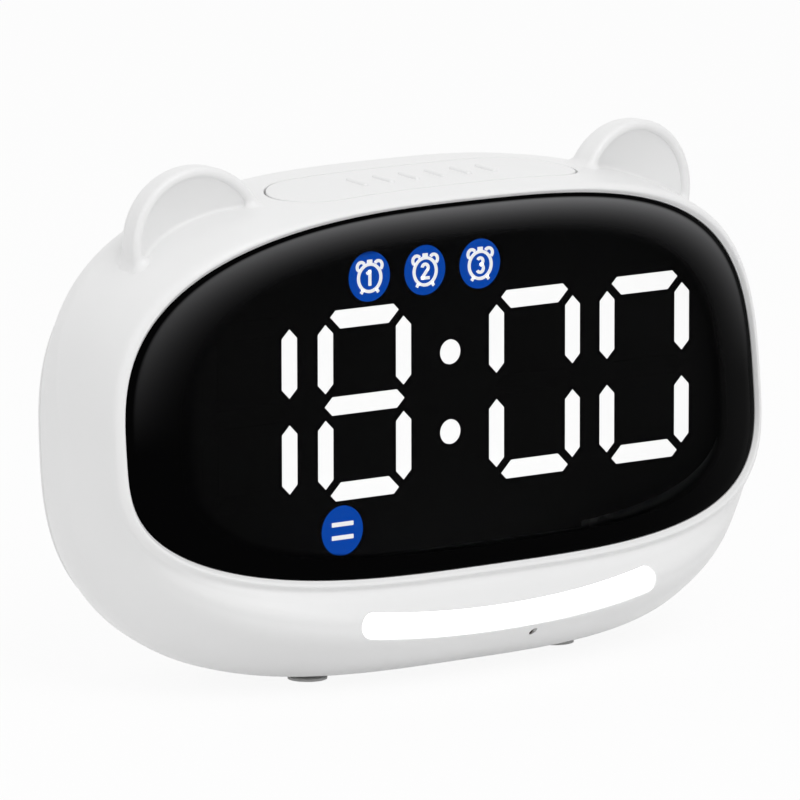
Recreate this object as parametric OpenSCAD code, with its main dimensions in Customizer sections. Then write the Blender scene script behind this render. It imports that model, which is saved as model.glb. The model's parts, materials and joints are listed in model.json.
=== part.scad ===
// Kids alarm clock with night light: an oval clock with a wrapped dark screen, two ears,
// a snooze button in the top, a light strip in the chin and its controls at the rear.
// X runs across the clock, -Y is the screen side, +Z is up, and Z = 0 is the table.

/* [Screen] */
// Width of the dark screen across its ends
screen_w = 156.4; // [150:0.2:162]
// Height of the screen's top edge above the digit line
screen_up = 39.9; // [38:0.1:42]
// Depth of the screen's bottom edge below the digit line
screen_down = 32.9; // [31:0.1:34]
// How far the ends of the screen wrap back from its middle
screen_wrap = 12.3; // [9:0.1:14]
// Thickness of the screen lens
lens_t = 1.8; // [1.4:0.1:2.4]
// Thickness of the black tape that holds the lens
tape_t = 0.4; // [0.2:0.05:0.6]
// Width of the ledge that the lens is taped to
ledge_w = 2.6; // [2:0.1:3.4]
// Gap round the lens
lens_gap = 0.15; // [0.1:0.05:0.3]

/* [Body] */
// Width of the rim and the body beyond the screen, on each side
body_margin = 2.2; // [1.8:0.1:4]
// Height of the top above the screen's top edge
top_margin = 4; // [3:0.1:6]
// Height of the chin from the screen's bottom edge to the base
chin_h = 22.4; // [20:0.1:26]
// Depth of the body behind the middle of the screen
body_d = 51.2; // [49:0.1:56]
// How far the rear cover is deep at the top
cover_d = 7.2; // [6:0.1:9]
// Wall thickness of the housing
wall = 2.2; // [1.8:0.1:2.6]
// Height of the raised bead round the screen
bead_h = 0.9; // [0.4:0.1:1.2]

/* [Ears] */
// Distance from the middle to the centre of an ear
ear_x = 54.4; // [48:0.2:58]
// Radius of an ear seen from the front
ear_r = 15; // [12:0.5:16]
// Thickness of an ear from its front to its back
ear_t = 13.5; // [10:0.5:16]
// Height of an ear above the top
ear_rise = 5.7; // [4:0.1:9]
// Depth of the hollow in the front of an ear
ear_scoop = 7; // [3:0.5:9]
// Width of the rim round the hollow
ear_rim = 1.6; // [1.2:0.1:4]

/* [Snooze button] */
// Length of the button
snooze_l = 73.2; // [60:0.2:80]
// Width of the button
snooze_w = 21; // [18:0.5:25]
// Gap round the button
snooze_gap = 0.4; // [0.3:0.05:0.6]
// Travel of the button
snooze_travel = 1.2; // [0.8:0.1:1.6]

/* [Digits] */
// Height of a digit
digit_h = 38.6; // [34:0.2:42]
// Distance between the upright segments of one digit
digit_w = 19.2; // [16:0.1:21]
// Distance from the colon to the nearest upright segment
colon_gap = 11.6; // [9:0.1:13]
// Distance between the nearest upright segments of two digits
digit_gap = 8.8; // [6:0.1:10]
// Width of a segment
segment_w = 3.7; // [2.6:0.1:4.4]
// Gap between an upright segment and the top or bottom one
segment_gap = 0.8; // [0.4:0.1:1.2]
// Gap between an upright segment and the middle line
middle_gap = 2.7; // [1.5:0.1:3.5]
// How far the display sits right of the middle
display_x = 0.6; // [-1:0.1:1]
// Diameter of a colon dot
dot_d = 5; // [3:0.1:6]
// Distance between the two colon dots
dot_pitch = 16.3; // [12:0.1:20]

/* [Icons] */
// Diameter of a round icon
icon_d = 10.1; // [8:0.1:11]
// Distance between the alarm icons
icon_pitch = 13.7; // [12:0.1:15]
// Sideways place of the middle alarm icon
icon_x = -5.7; // [-12:0.1:12]
// Height of the alarm icons above the digit line
icon_z = 25.4; // [24.5:0.1:26]
// Sideways place of the lower icon
low_icon_x = -26.2; // [-30:0.1:30]
// Depth of the lower icon below the digit line
low_icon_z = 25.4; // [25:0.1:26]

/* [Night light] */
// Length of the light strip
strip_l = 74; // [50:0.5:78]
// Height of the light strip
strip_h = 5.2; // [4:0.1:6]
// How far the ends of the strip curve up
strip_rise = 2.6; // [0:0.1:4]
// Height of the strip's middle above the base
strip_z = 12.3; // [11.4:0.1:13]
// Sideways place of the strip's middle
strip_x = 2.9; // [-4:0.1:4]
// Sideways place of its lowest point
strip_low_x = -2; // [-6:0.1:6]
// Sideways place of the sensor hole
sensor_x = 8.6; // [-20:0.2:20]
// Diameter of the sensor hole
sensor_d = 1.6; // [1:0.1:2.4]

/* [Rear controls] */
// Diameter of a rear button
button_d = 7; // [6:0.1:8]
// Distance between the rear buttons
button_pitch = 14; // [12:0.5:16]
// Height of the rear buttons above the digit line
button_z = 13; // [10:0.5:16]
// Travel of a rear button
button_travel = 0.8; // [0.5:0.1:1]
// Width of the battery door
door_w = 27; // [25:0.5:30]
// Diameter of the coin cell
cell_d = 20; // [16:0.5:20]
// Thickness of the coin cell
cell_t = 3.2; // [2:0.1:3.2]
// Diameter of the speaker
speaker_d = 28; // [22:0.5:30]

/* [Base] */
// Diameter of a rubber foot
foot_d = 8; // [6:0.5:11]
// Thickness of a rubber foot
foot_h = 0.5; // [0.5:0.1:1.5]
// Sideways distance from the middle to a foot
foot_x = 31; // [24:0.5:34]

/* [Hidden] */

// Seats: a piece that rests on another keeps this gap
seat = 0.1;
// Stations round the oval, and their step
stations = 72;
station_step = 360 / stations;
// Level of the body's widest line below the digit line
level = -5;
half_w = screen_w / 2 + body_margin;
top_z = screen_up + top_margin;
base_z = -screen_down - chin_h;
// Height of the digit line above the table
lift = foot_h - base_z;

// Value at a part of the way between two values
function along(low, high, part) = low + (high - low) * part;
function chin_z(part) = -screen_down - chin_h * part;
// How far the screen leans back for each mm of height, its depth at the digit line, and the
// squareness of its upper and lower corners
screen_tilt = 0.1045;
screen_y0 = 1.2;
upper_square = 2.8;
lower_square = 3.3;
function screen_y(x, z) =
    screen_y0 + screen_tilt * z + screen_wrap * pow(abs(x) / (screen_w / 2), 3);
// A ring that lies on the screen's own surface, moved inwards and back
function screen_ring(inset, back) = let(
    a = screen_w / 2 - inset,
    up = screen_up - inset,
    down = -screen_down + inset)
    [a, up, down, screen_y(a, level) + back, screen_y(0, up) + back,
     screen_y(0, down) + back, upper_square, lower_square];
// The same, shrunk towards the middle of the screen
function shrunk_ring(share, back) = let(
    a = screen_w / 2 * share,
    up = level + (screen_up - level) * share,
    down = level - (screen_down + level) * share)
    [a, up, down, screen_y(a, level) + back, screen_y(0, up) + back,
     screen_y(0, down) + back, upper_square, lower_square];
edge = screen_ring(0, 0);
// Depth of the parting line at the top and at the bottom
split_top = body_d - cover_d;
split_bottom = split_top - 4.7;
function side_y(share) = along(edge[3], split_top, share);
function top_y(share) = along(edge[4], split_top, share);
function bottom_y(share) = along(edge[5], split_bottom, share);
// Rings of the body: half width, top, bottom, how far back each lies at its sides, top and
// bottom, and the squareness of its upper and lower corners
body_rings = [
    edge,
    [screen_w / 2 + 0.8, screen_up + 0.8, chin_z(0.045), edge[3] - bead_h, edge[4] - bead_h,
     edge[5] - bead_h, 2.85, 3.3],
    [half_w - 0.2, screen_up + 1.6, chin_z(0.1), edge[3] + 0.7, edge[4] + 0.1,
     edge[5] - 0.3, 2.9, 3.3],
    [half_w, top_z - 1.8, chin_z(0.19), side_y(0.118), top_y(0.073), edge[5] - 2, 2.95, 3.2],
    [half_w, top_z - 1.4, chin_z(0.374), side_y(0.235), top_y(0.171), edge[5] - 4.3, 3.1, 3.1],
    [half_w, top_z - 1.1, chin_z(0.6), side_y(0.365), top_y(0.3), edge[5] - 3, 3.15, 3.1],
    [half_w, top_z - 0.8, chin_z(0.824), side_y(0.49), top_y(0.456), bottom_y(0.102), 3.15, 3.25],
    [half_w, top_z - 0.4, chin_z(0.964), side_y(0.584), top_y(0.611), bottom_y(0.287), 3.15, 3.45],
    [half_w + 0.1, top_z - 0.1, base_z, side_y(0.66), top_y(0.754), bottom_y(0.494), 3.05, 3.5],
    [half_w - 0.2, top_z, base_z, side_y(0.8), top_y(0.9), bottom_y(0.764), 2.85, 3.25],
    [half_w - 0.9, top_z - 1.5, base_z + 1, split_top - 2.3, split_top, split_bottom, 2.55, 2.9],
    [half_w - 6, top_z - 6.4, base_z + 5.2, body_d - 4.4, body_d - 3.6, body_d - 4.1, 2.4, 2.75],
    [half_w - 13, top_z - 12.5, base_z + 11.5, body_d - 1.1, body_d - 1,
     body_d - 1, 2.3, 2.5],
    [half_w - 20, top_z - 19, base_z + 19, body_d, body_d, body_d, 2.3, 2.4]];
// Number of the ring at the parting line, and of the last one
split = 10;
last = len(body_rings) - 1;

// The three outlines that the rings pass through: side, top and bottom
function side_of(r) = [r[0], r[3]];
function top_of(r) = [r[1] - level, r[4]];
function bottom_of(r) = [level - r[2], r[5]];
function inward(before, after) = let(t = after - before) [-t[1], t[0]] / norm(t);
// Ring k moved into the body by a depth
function inner_ring(k, depth) = let(
    r = body_rings[k],
    p = body_rings[max(k - 1, 0)],
    q = body_rings[min(k + 1, last)],
    s = side_of(r) + depth * inward(side_of(p), side_of(q)),
    u = top_of(r) + depth * inward(top_of(p), top_of(q)),
    d = bottom_of(r) + depth * inward(bottom_of(p), bottom_of(q)))
    [s[0], level + u[0], level - d[0], s[1], u[1], d[1], r[6], r[7]];

function signed_pow(v, p) = sign(v) * pow(abs(v), p);
// A point of a ring at an angle, seen from the front
function ring_point(r, angle) = let(
    c = cos(angle),
    s = sin(angle),
    power = 2 / (s > 0 ? r[6] : r[7]),
    reach = s > 0 ? r[1] - level : level - r[2],
    x = r[0] * signed_pow(c, power),
    z = level + reach * signed_pow(s, power),
    slope = (r[4] - r[5]) / (r[1] - r[2]),
    y0 = r[4] - slope * r[1],
    bulge = r[3] - y0 - slope * level)
    [x, y0 + slope * z + bulge * pow(abs(x) / r[0], 3), z];

// Skin through a list of rings, closed into a loop or with flat tips at both ends
function band_faces(a, b) = [for (i = [0:stations - 1]) let(j = (i + 1) % stations)
    each [[a * stations + i, b * stations + j, b * stations + i],
          [a * stations + i, a * stations + j, b * stations + j]]];
module ring_loop(rings) {
    count = len(rings);
    polyhedron(
        [for (r = rings) for (i = [0:stations - 1]) ring_point(r, i * station_step)],
        [for (k = [0:count - 1]) each band_faces(k, (k + 1) % count)], convexity = 8);
}
module ring_solid(rings) {
    count = len(rings);
    function tip(r) = let(slope = (r[4] - r[5]) / (r[1] - r[2]))
        [0, r[4] - slope * (r[1] - level), level];
    polyhedron(
        concat([for (r = rings) for (i = [0:stations - 1]) ring_point(r, i * station_step)],
               [tip(rings[0]), tip(rings[count - 1])]),
        concat([for (k = [0:count - 2]) each band_faces(k, k + 1)],
               [for (i = [0:stations - 1]) [count * stations, (i + 1) % stations, i]],
               [for (i = [0:stations - 1])
                   [count * stations + 1, (count - 1) * stations + i,
                    (count - 1) * stations + (i + 1) % stations]]), convexity = 8);
}

// Front and rear limits of the whole clock, for centring it on Y
cap_proud = 0.8;
front_y = body_rings[4][5];
rear_y = body_d + cap_proud;
module place() {
    translate([0, -(front_y + rear_y) / 2, lift])
        children();
}

// Round bars: along Y from one depth to another, and upright
module bar_y(x, z, r, y0, y1) {
    translate([x, y1, z])
        rotate([90, 0, 0])
            cylinder(r = r, h = y1 - y0, $fn = 48);
}
module bar_z(x, y, r, z0, z1) {
    translate([x, y, z0])
        cylinder(r = r, h = z1 - z0, $fn = 48);
}
// A block between two corners
module block(low, high) {
    translate(low)
        cube(high - low);
}
// A flat shape drawn in X and Z, made thick from one depth to another
module plate_y(y0, y1) {
    translate([0, y1, 0])
        rotate([90, 0, 0])
            linear_extrude(y1 - y0)
                children();
}
// A stadium with its middle at the origin
module stadium(length, width) {
    square([length - width, width], center = true);
    for (side = [-1, 1])
        translate([side * (length - width) / 2, 0])
            circle(d = width, $fn = 64);
}

// Depths of the layers behind the screen
seat_back = lens_t + tape_t;
ledge_t = 1.5;
block_y = screen_wrap + 0.7;
block_t = 6;
flange_plate_t = 1;
board_t = 1.6;
display_y = block_y + block_t;
inner_d = body_d - wall;
main_y = inner_d - 11;
// Screws of the boards
screw_r = 1;
screw_l = 4.2;
head_r = 1.9;
head_h = 1.2;
pilot_r = screw_r + 0.05;
hole_r = screw_r + 0.1;
post_r = 2.8;

// Bosses of the four housing screws, near the corners of the oval
boss_r = 3.4;
boss_in_y = block_y + flange_plate_t + 0.5;
boss_out_y = split_top - 5;
rib_t = 1.6;
rib_l = 14;
rib_short = 1;
cover_post_r = boss_r;
cover_screw_r = 1.3;
cover_head_r = 2.5;
cover_head_h = 1.6;
cover_head_y = body_d - 6;
cover_screw_l = 16;
boss_angles = [45, -42];
function boss_at(side, angle) = let(p = ring_point(inner_ring(11, wall), angle))
    [side * p[0], p[2]];
bosses = [for (side = [-1, 1]) for (angle = boss_angles) boss_at(side, angle)];

// Posts that carry the display board, behind the ends of the screen ledge
function ledge_y(z) = screen_y(screen_w / 2 - ledge_w, z) + seat_back + ledge_t / 2;
display_post_zs = [3, -13];
display_posts = [for (side = [-1, 1]) for (z = display_post_zs)
    [side * (screen_w / 2 - 3.8), z]];

// Snooze button, its guide in the top, and its board on two posts below it
snooze_y = 21.8;
guide_t = 1.2;
guide_h = 5.6;
guide_z = top_z - wall - 0.1 - guide_h;
flange_h = 1.2;
flange_w = 1;
button_wall = 2;
snooze_board_y = display_y + board_t + 7;
tact = 6;
tact_h = 3.5;
plunger_r = 1.6;
plunger_h = 1;
snooze_post_x = snooze_l / 2 + flange_w + 0.6 + post_r;
snooze_board_z = guide_z - seat - flange_h - snooze_travel - seat - plunger_h - tact_h - board_t;

// Night light behind the chin
strip_mid = base_z + strip_z;
strip_back = 4;
tray_t = 0.6;
night_board_y = 10;
night_post_x = strip_l / 2 + 9;
night_post_z = strip_mid + 1;
sensor_z = strip_mid - strip_h / 2 - 1.7;
sensor_sunk = 3.5;

// Depths of the front and rear feet, and the rim of the pads over them
foot_ys = [18.5, split_top - 12];
foot_rim = 0.8;

// Rear cover: controls, speaker, battery bay and socket
button_xs = [for (i = [-2:2]) i * button_pitch];
button_gap = 0.3;
button_flange = 0.8;
button_flange_t = 1;
main_w = 102;
main_up = 21.5;
main_down = -33;
main_posts = [for (side = [-1, 1]) for (z = [main_up - 4, main_down + 4])
    [side * (main_w / 2 - 4), z]];
speaker_x = -29;
speaker_z = -13;
speaker_t = 5;
grille_pitch = 4.5;
grille_r = 0.9;
door_x = 6;
door_z = -17;
door_t = 1.6;
door_gap = 0.15;
groove_l = 12;
groove_deep = 0.6;
bay_wall = 1.6;
spring_t = 0.3;
bay_depth = door_t + seat + cell_t + 1.1;
cell_y = body_d - door_t - seat - spring_t - seat - cell_t;
door_screw_x = door_x + door_w / 2 - 2.6;
door_screw_z = door_z - door_w / 2 + 2.6;
usb_x = main_w / 2 - 13;
usb_z = -20;
usb_w = 8.9;
usb_h = 3.2;
usb_l = 7.3;
usb_y = inner_d - usb_l;

// The curved band of the light strip, seen from the front, with round ends
function strip_line(x) =
    strip_mid + strip_rise * pow(2 * (x + strip_x - strip_low_x) / strip_l, 2);
function strip_lean(x) =
    atan(8 * strip_rise * (x + strip_x - strip_low_x) / pow(strip_l, 2));
module strip_band(grow) {
    h = strip_h / 2 + grow;
    reach = strip_l / 2 - strip_h / 2;
    steps = 16;
    turns = 9;
    function edge_point(x, way) =
        [x - way * h * sin(strip_lean(x)), strip_line(x) + way * h * cos(strip_lean(x))];
    function round_end(x, start) = [for (i = [1:turns])
        let(a = start + strip_lean(x) - 180 * i / (turns + 1))
            [x + h * cos(a), strip_line(x) + h * sin(a)]];
    translate([strip_x, 0])
        polygon(concat(
            [for (i = [0:steps]) edge_point(along(-reach, reach, i / steps), 1)],
            round_end(reach, 90),
            [for (i = [steps:-1:0]) edge_point(along(-reach, reach, i / steps), -1)],
            round_end(-reach, 270)));
}
// A screw along Y: head at one depth, shaft towards the front or the rear
module screw_y(x, z, r, l, hr, hh, y, way) {
    bar_y(x, z, hr, y - (way > 0 ? hh : 0), y + (way > 0 ? 0 : hh));
    bar_y(x, z, r, y - (way > 0 ? 0 : l), y + (way > 0 ? l : 0));
}

// --- Housing ---
// An ear: a short round bar with a dome behind it and a hollow in its front
ear_y = 21;
ear_straight = 4;
module ear_shape(side) {
    hollow_r = ear_r - ear_rim;
    dome = ear_t - ear_straight;
    steps = 6;
    translate([side * ear_x, ear_y, top_z + ear_rise - ear_r])
        rotate([-90, 0, 0])
            rotate_extrude($fn = 64)
                polygon(concat(
                    [for (i = [0:steps]) let(a = 90 * i / steps)
                        [hollow_r * sin(a), ear_scoop * cos(a)]],
                    [[ear_r - ear_rim / 2, -0.4], [ear_r, 0.3]],
                    [for (i = [steps:-1:0]) let(a = 90 * i / steps)
                        [ear_r * sin(a), ear_straight + dome * cos(a)]]));
}
// The space inside the middle of the walls: what is inside is trimmed to it, so that it
// joins the walls and never shows outside
module within_walls() {
    ring_solid([for (k = [3:split]) inner_ring(k, wall * 0.6)]);
}
module housing_shell() {
    ring_loop(concat(
        [for (k = [0:split]) body_rings[k]],
        [for (k = [split:-1:4]) inner_ring(k, wall)],
        [screen_ring(0.1, seat_back + ledge_t), screen_ring(ledge_w, seat_back + ledge_t),
         screen_ring(ledge_w, seat_back), screen_ring(0, seat_back)]));
}
module inner_features() {
    // Bosses of the housing screws, each with a rib to the wall
    for (b = bosses) {
        bar_y(b[0], b[1], boss_r, boss_in_y, boss_out_y);
        translate([b[0], boss_out_y - rib_short, b[1]])
            rotate([90, -atan2(b[1] - level, b[0]), 0])
                translate([0, -rib_t / 2, 0])
                    cube([rib_l, rib_t, boss_out_y - boss_in_y - 2 * rib_short]);
    }
    for (side = [-1, 1]) {
        bar_z(side * snooze_post_x, snooze_board_y, post_r, snooze_board_z + board_t + seat,
              top_z);
        bar_y(side * night_post_x, night_post_z, post_r, front_y, night_board_y - seat);
        for (y = foot_ys)
            bar_z(side * foot_x, y, foot_d / 2 + foot_rim, base_z, base_z + wall + 1);
    }
    // Guide wall round the snooze button
    translate([0, snooze_y, guide_z])
        linear_extrude(guide_h + wall)
            difference() {
                stadium(snooze_l + 2 * guide_t, snooze_w + 2 * guide_t);
                stadium(snooze_l, snooze_w);
            }
}
module front_housing() {
    color("white")
        place()
            difference() {
                union() {
                    housing_shell();
                    difference() {
                        union() {
                            ear_shape(-1);
                            ear_shape(1);
                        }
                        within_walls();
                    }
                    intersection() {
                        inner_features();
                        within_walls();
                    }
                    for (p = display_posts)
                        bar_y(p[0], p[1], post_r, ledge_y(p[1]), display_y - seat);
                }
                translate([0, snooze_y, guide_z - 1])
                    linear_extrude(top_z)
                        stadium(snooze_l, snooze_w);
                plate_y(front_y - 5, strip_back)
                    strip_band(0);
                bar_y(sensor_x, sensor_z, sensor_d / 2, front_y - 5, strip_back);
                for (b = bosses)
                    bar_y(b[0], b[1], cover_screw_r + 0.05, cover_head_y - cover_screw_l - 1,
                          boss_out_y + 1);
                for (p = display_posts)
                    bar_y(p[0], p[1], pilot_r, display_y - 2.9, display_y);
                for (side = [-1, 1]) {
                    bar_z(side * snooze_post_x, snooze_board_y, pilot_r,
                          snooze_board_z, snooze_board_z + board_t + 6);
                    bar_y(side * night_post_x, night_post_z, pilot_r,
                          night_board_y - 6, night_board_y);
                }
            }
}
module rear_cover() {
    function back_by(r, dy) = [r[0], r[1], r[2], r[3] + dy, r[4] + dy, r[5] + dy, r[6], r[7]];
    color("white")
        place()
            difference() {
                union() {
                    ring_solid(concat(
                        [for (k = [last:-1:split + 1]) inner_ring(k, wall)],
                        [back_by(inner_ring(split, wall), seat),
                         back_by(body_rings[split], seat)],
                        [for (k = [split + 1:last]) body_rings[k]]));
                    for (b = bosses)
                        bar_y(b[0], b[1], cover_post_r, boss_out_y + seat, cover_head_y + 1);
                    for (p = main_posts)
                        bar_y(p[0], p[1], post_r, main_y + board_t + seat, inner_d + 0.4);
                    // Ring round the speaker
                    translate([speaker_x, 0, speaker_z])
                        plate_y(inner_d - speaker_t + 1, inner_d + 0.4)
                            difference() {
                                circle(d = speaker_d + 2.4, $fn = 96);
                                circle(d = speaker_d + 2 * seat, $fn = 96);
                            }
                    // Battery bay
                    block([door_x - door_w / 2 - bay_wall, body_d - bay_depth - 1.2,
                           door_z - door_w / 2 - bay_wall],
                          [door_x + door_w / 2 + bay_wall, inner_d + 0.4,
                           door_z + door_w / 2 + bay_wall]);
                }
                for (b = bosses) {
                    bar_y(b[0], b[1], cover_screw_r + 0.2, boss_out_y, body_d + 1);
                    bar_y(b[0], b[1], cover_head_r + 0.3, cover_head_y, body_d + 1);
                }
                for (p = main_posts)
                    bar_y(p[0], p[1], pilot_r, main_y + board_t, main_y + board_t + 6);
                for (x = button_xs)
                    bar_y(x, button_z, button_d / 2 + button_gap, inner_d - 1, body_d + 1);
                // Speaker grille: a middle hole and two rings of holes
                for (ring = [0, 1, 2])
                    for (i = [0:max(6 * ring - 1, 0)])
                        let(angle = i * 60 / max(ring, 1))
                            bar_y(speaker_x + ring * grille_pitch * cos(angle),
                                  speaker_z + ring * grille_pitch * sin(angle), grille_r,
                                  inner_d - 1, body_d + 1);
                // Recess of the battery door, well of the cell, hole of the door screw
                block([door_x - door_w / 2 - door_gap, body_d - door_t - seat,
                       door_z - door_w / 2 - door_gap],
                      [door_x + door_w / 2 + door_gap, body_d + 1,
                       door_z + door_w / 2 + door_gap]);
                bar_y(door_x, door_z, cell_d / 2 + 0.3, body_d - bay_depth, body_d + 1);
                bar_y(door_screw_x, door_screw_z, pilot_r, body_d - bay_depth, body_d);
                // Opening of the socket
                translate([usb_x, 0, usb_z])
                    plate_y(inner_d - 1, body_d + 1)
                        stadium(usb_w + 2 * button_gap, usb_h + 2 * button_gap);
            }
}
module housing_screws() {
    color("silver")
        place()
            for (b = bosses)
                screw_y(b[0], b[1], cover_screw_r, cover_screw_l, cover_head_r, cover_head_h,
                        cover_head_y, -1);
}
module rubber_feet() {
    color("gainsboro")
        place()
            for (side = [-1, 1])
                for (y = foot_ys)
                    bar_z(side * foot_x, y, foot_d / 2, base_z - foot_h, base_z);
}

// --- Screen ---
module display_lens() {
    shares = [0.25, 0.5, 0.7, 0.82, 0.9];
    color([0.03, 0.03, 0.04])
        place()
            ring_solid(concat(
                [for (s = shares) shrunk_ring(s, 0)],
                [screen_ring(lens_gap, 0), screen_ring(lens_gap, lens_t),
                 screen_ring(ledge_w, lens_t)],
                [for (i = [len(shares) - 1:-1:0]) shrunk_ring(shares[i], lens_t)]));
}
module lens_tape() {
    color("black")
        place()
            ring_loop([screen_ring(2 * lens_gap, lens_t + 0.05),
                       screen_ring(2 * lens_gap, seat_back - 0.05),
                       screen_ring(ledge_w - 0.2, seat_back - 0.05),
                       screen_ring(ledge_w - 0.2, lens_t + 0.05)]);
}

// Sideways places of the four digits' middles
inner_digit = colon_gap + digit_w / 2;
outer_digit = inner_digit + digit_w + digit_gap;
digit_xs = [for (x = [-outer_digit, -inner_digit, inner_digit, outer_digit]) display_x + x];
// Height of the top segment above the middle one, and of an upright segment's middle
end_z = digit_h / 2 - segment_w / 2;
upright_z = (end_z - segment_gap + middle_gap) / 2;
// Half lengths of the upright, middle and end segments, tip to tip
upright_reach = upright_z - middle_gap;
middle_reach = digit_w / 2 + 0.2;
end_reach = digit_w / 2 - 1.2;
// How far the tips of the end segments lie off their middle line
end_skew = 0.6;
// A segment seen from the front, made larger or smaller all round
module segment(reach, skew, grow) {
    h = segment_w / 2 + grow;
    l = reach + grow;
    top = l - h + skew;
    low = l - h - skew;
    polygon([[-l, skew], [-top, h], [top, h], [l, skew], [low, -h], [-low, -h]]);
}
module digit(x, lit, grow) {
    translate([x, 0]) {
        for (k = lit)
            if (k == 1)
                segment(middle_reach, 0, grow);
            else if (k < 3)
                translate([0, (k - 1) * end_z])
                    scale([1, k - 1])
                        segment(end_reach, end_skew, grow);
            else
                translate(segment_place(0, k))
                    rotate(90)
                        segment(upright_reach, 0, grow);
    }
}
// Middle of segment k of the digit at x
function segment_place(x, k) = k < 3 ? [x, (k - 1) * end_z]
    : [x + (k % 2 == 0 ? 1 : -1) * digit_w / 2, (k < 5 ? 1 : -1) * upright_z];
all_segments = [0:6];
icon_places = concat([for (i = [-1:1]) [icon_x + i * icon_pitch, icon_z]],
                     [[low_icon_x, -low_icon_z]]);
module lit_windows(grow) {
    for (x = digit_xs)
        digit(x, all_segments, grow);
    for (side = [-1, 1])
        translate([display_x, side * dot_pitch / 2])
            circle(d = dot_d + 2 * grow, $fn = 48);
    for (p = icon_places)
        translate(p)
            circle(d = icon_d + 2 * grow, $fn = 64);
}
insert_t = 2;
insert_gap = 0.05;
window_lip = 0.5;
module reflector_block() {
    module outline() {
        square([2 * outer_digit + digit_w + segment_w + 4, digit_h + 3], center = true);
        square([2 * (abs(low_icon_x) + icon_d / 2 + 2.5), 2 * (low_icon_z + icon_d / 2 + 1)],
               center = true);
    }
    // A thin flange that blacks out the rest of the screen
    module flange() {
        edge_ring = [screen_w / 2 - 8, guide_z - 3.3, -screen_down + 2, 0, 0, 0,
                     upper_square, lower_square];
        polygon([for (i = [0:stations - 1]) let(p = ring_point(edge_ring, i * station_step))
            [p[0], p[2]]]);
    }
    color([0.12, 0.12, 0.13])
        place() {
            plate_y(block_y, block_y + flange_plate_t)
                difference() {
                    flange();
                    lit_windows(insert_gap);
                }
            plate_y(block_y, block_y + insert_t + insert_gap)
                difference() {
                    outline();
                    lit_windows(insert_gap);
                }
            plate_y(block_y + insert_t + insert_gap, display_y)
                difference() {
                    outline();
                    lit_windows(-window_lip);
                }
        }
}
module insert_plate() {
    plate_y(block_y, block_y + insert_t)
        children();
}
module digit_node(index, shade) {
    color(shade)
        place()
            insert_plate()
                digit(digit_xs[index], all_segments, 0);
}
lit_blue = [0.1, 0.35, 0.95];
module hour_tens() {
    digit_node(0, lit_blue);
}
module hour_units() {
    digit_node(1, lit_blue);
}
module minute_tens() {
    digit_node(2, lit_blue);
}
module minute_units() {
    digit_node(3, lit_blue);
}
module colon_dots() {
    color(lit_blue)
        place()
            for (side = [-1, 1])
                bar_y(display_x, side * dot_pitch / 2, dot_d / 2, block_y, block_y + insert_t);
}
module icon_discs() {
    color([0, 0.25, 0.65])
        place()
            for (p = icon_places)
                bar_y(p[0], p[1], icon_d / 2, block_y, block_y + insert_t);
}
// Printed marks: an alarm clock on three discs, two bars on the lower one
mark_t = 0.2;
module clock_mark() {
    ring_r = icon_d * 0.27;
    line = icon_d * 0.07;
    difference() {
        circle(r = ring_r, $fn = 48);
        circle(r = ring_r - line, $fn = 48);
    }
    for (side = [-1, 1]) {
        rotate(side * 38)
            translate([0, ring_r * 1.28])
                square([icon_d * 0.2, line * 1.6], center = true);
        rotate(side * 145)
            translate([0, ring_r + line])
                square([line, 2 * line], center = true);
    }
}
module icon_marks() {
    color("white")
        place()
            plate_y(block_y - mark_t, block_y) {
                for (i = [0:2])
                    translate(icon_places[i])
                        clock_mark();
                for (side = [-1, 1])
                    translate([low_icon_x, -low_icon_z + side * icon_d * 0.13])
                        square([icon_d * 0.5, icon_d * 0.09], center = true);
            }
}

// --- Boards ---
led_w = 1.6;
led_d = 0.8;
led_t = 0.6;
module segment_leds() {
    places = concat([for (x = digit_xs) for (k = all_segments) segment_place(x, k)],
                    [for (side = [-1, 1]) [display_x, side * dot_pitch / 2]], icon_places);
    color("ivory")
        place()
            for (p = places)
                block([p[0] - led_w / 2, display_y - led_t, p[1] - led_d / 2],
                      [p[0] + led_w / 2, display_y, p[1] + led_d / 2]);
}
board_reach = screen_w / 2 - 1.6;
module display_board() {
    color("darkgreen")
        place()
            plate_y(display_y, display_y + board_t)
                difference() {
                    union() {
                        translate([-board_reach, display_post_zs[1] - 5])
                            square([2 * board_reach, display_post_zs[0] - display_post_zs[1] + 10]);
                        square([2 * outer_digit + digit_w + segment_w, digit_h + 1],
                               center = true);
                        square([2 * (abs(low_icon_x) + icon_d), 2 * (low_icon_z + icon_d / 2 + 1)],
                               center = true);
                    }
                    for (p = display_posts)
                        translate(p)
                            circle(r = hole_r, $fn = 48);
                }
}
module display_screws() {
    color("silver")
        place()
            for (p = display_posts)
                screw_y(p[0], p[1], screw_r, screw_l, head_r, head_h, display_y + board_t, -1);
}
link_x = 22;
link_z = main_up - 3;
link_pins = 6;
link_pitch = 2.54;
link_pin_t = 0.6;
module board_link() {
    width = link_pins * link_pitch;
    from = display_y + board_t;
    body_t = 0.48 * (main_y - from);
    color("black")
        place() {
            for (y = [from, main_y - body_t])
                block([link_x - width / 2, y, link_z - link_pitch / 2],
                      [link_x + width / 2, y + body_t, link_z + link_pitch / 2]);
            for (i = [0:link_pins - 1])
                translate([link_x + (i - (link_pins - 1) / 2) * link_pitch, from + body_t, link_z])
                    translate([-link_pin_t / 2, 0, -link_pin_t / 2])
                        cube([link_pin_t, main_y - from - 2 * body_t, link_pin_t]);
        }
}
module main_board() {
    color("darkgreen")
        place()
            plate_y(main_y, main_y + board_t)
                difference() {
                    translate([-main_w / 2, main_down])
                        square([main_w, main_up - main_down]);
                    for (p = main_posts)
                        translate(p)
                            circle(r = hole_r, $fn = 48);
                }
}
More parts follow.
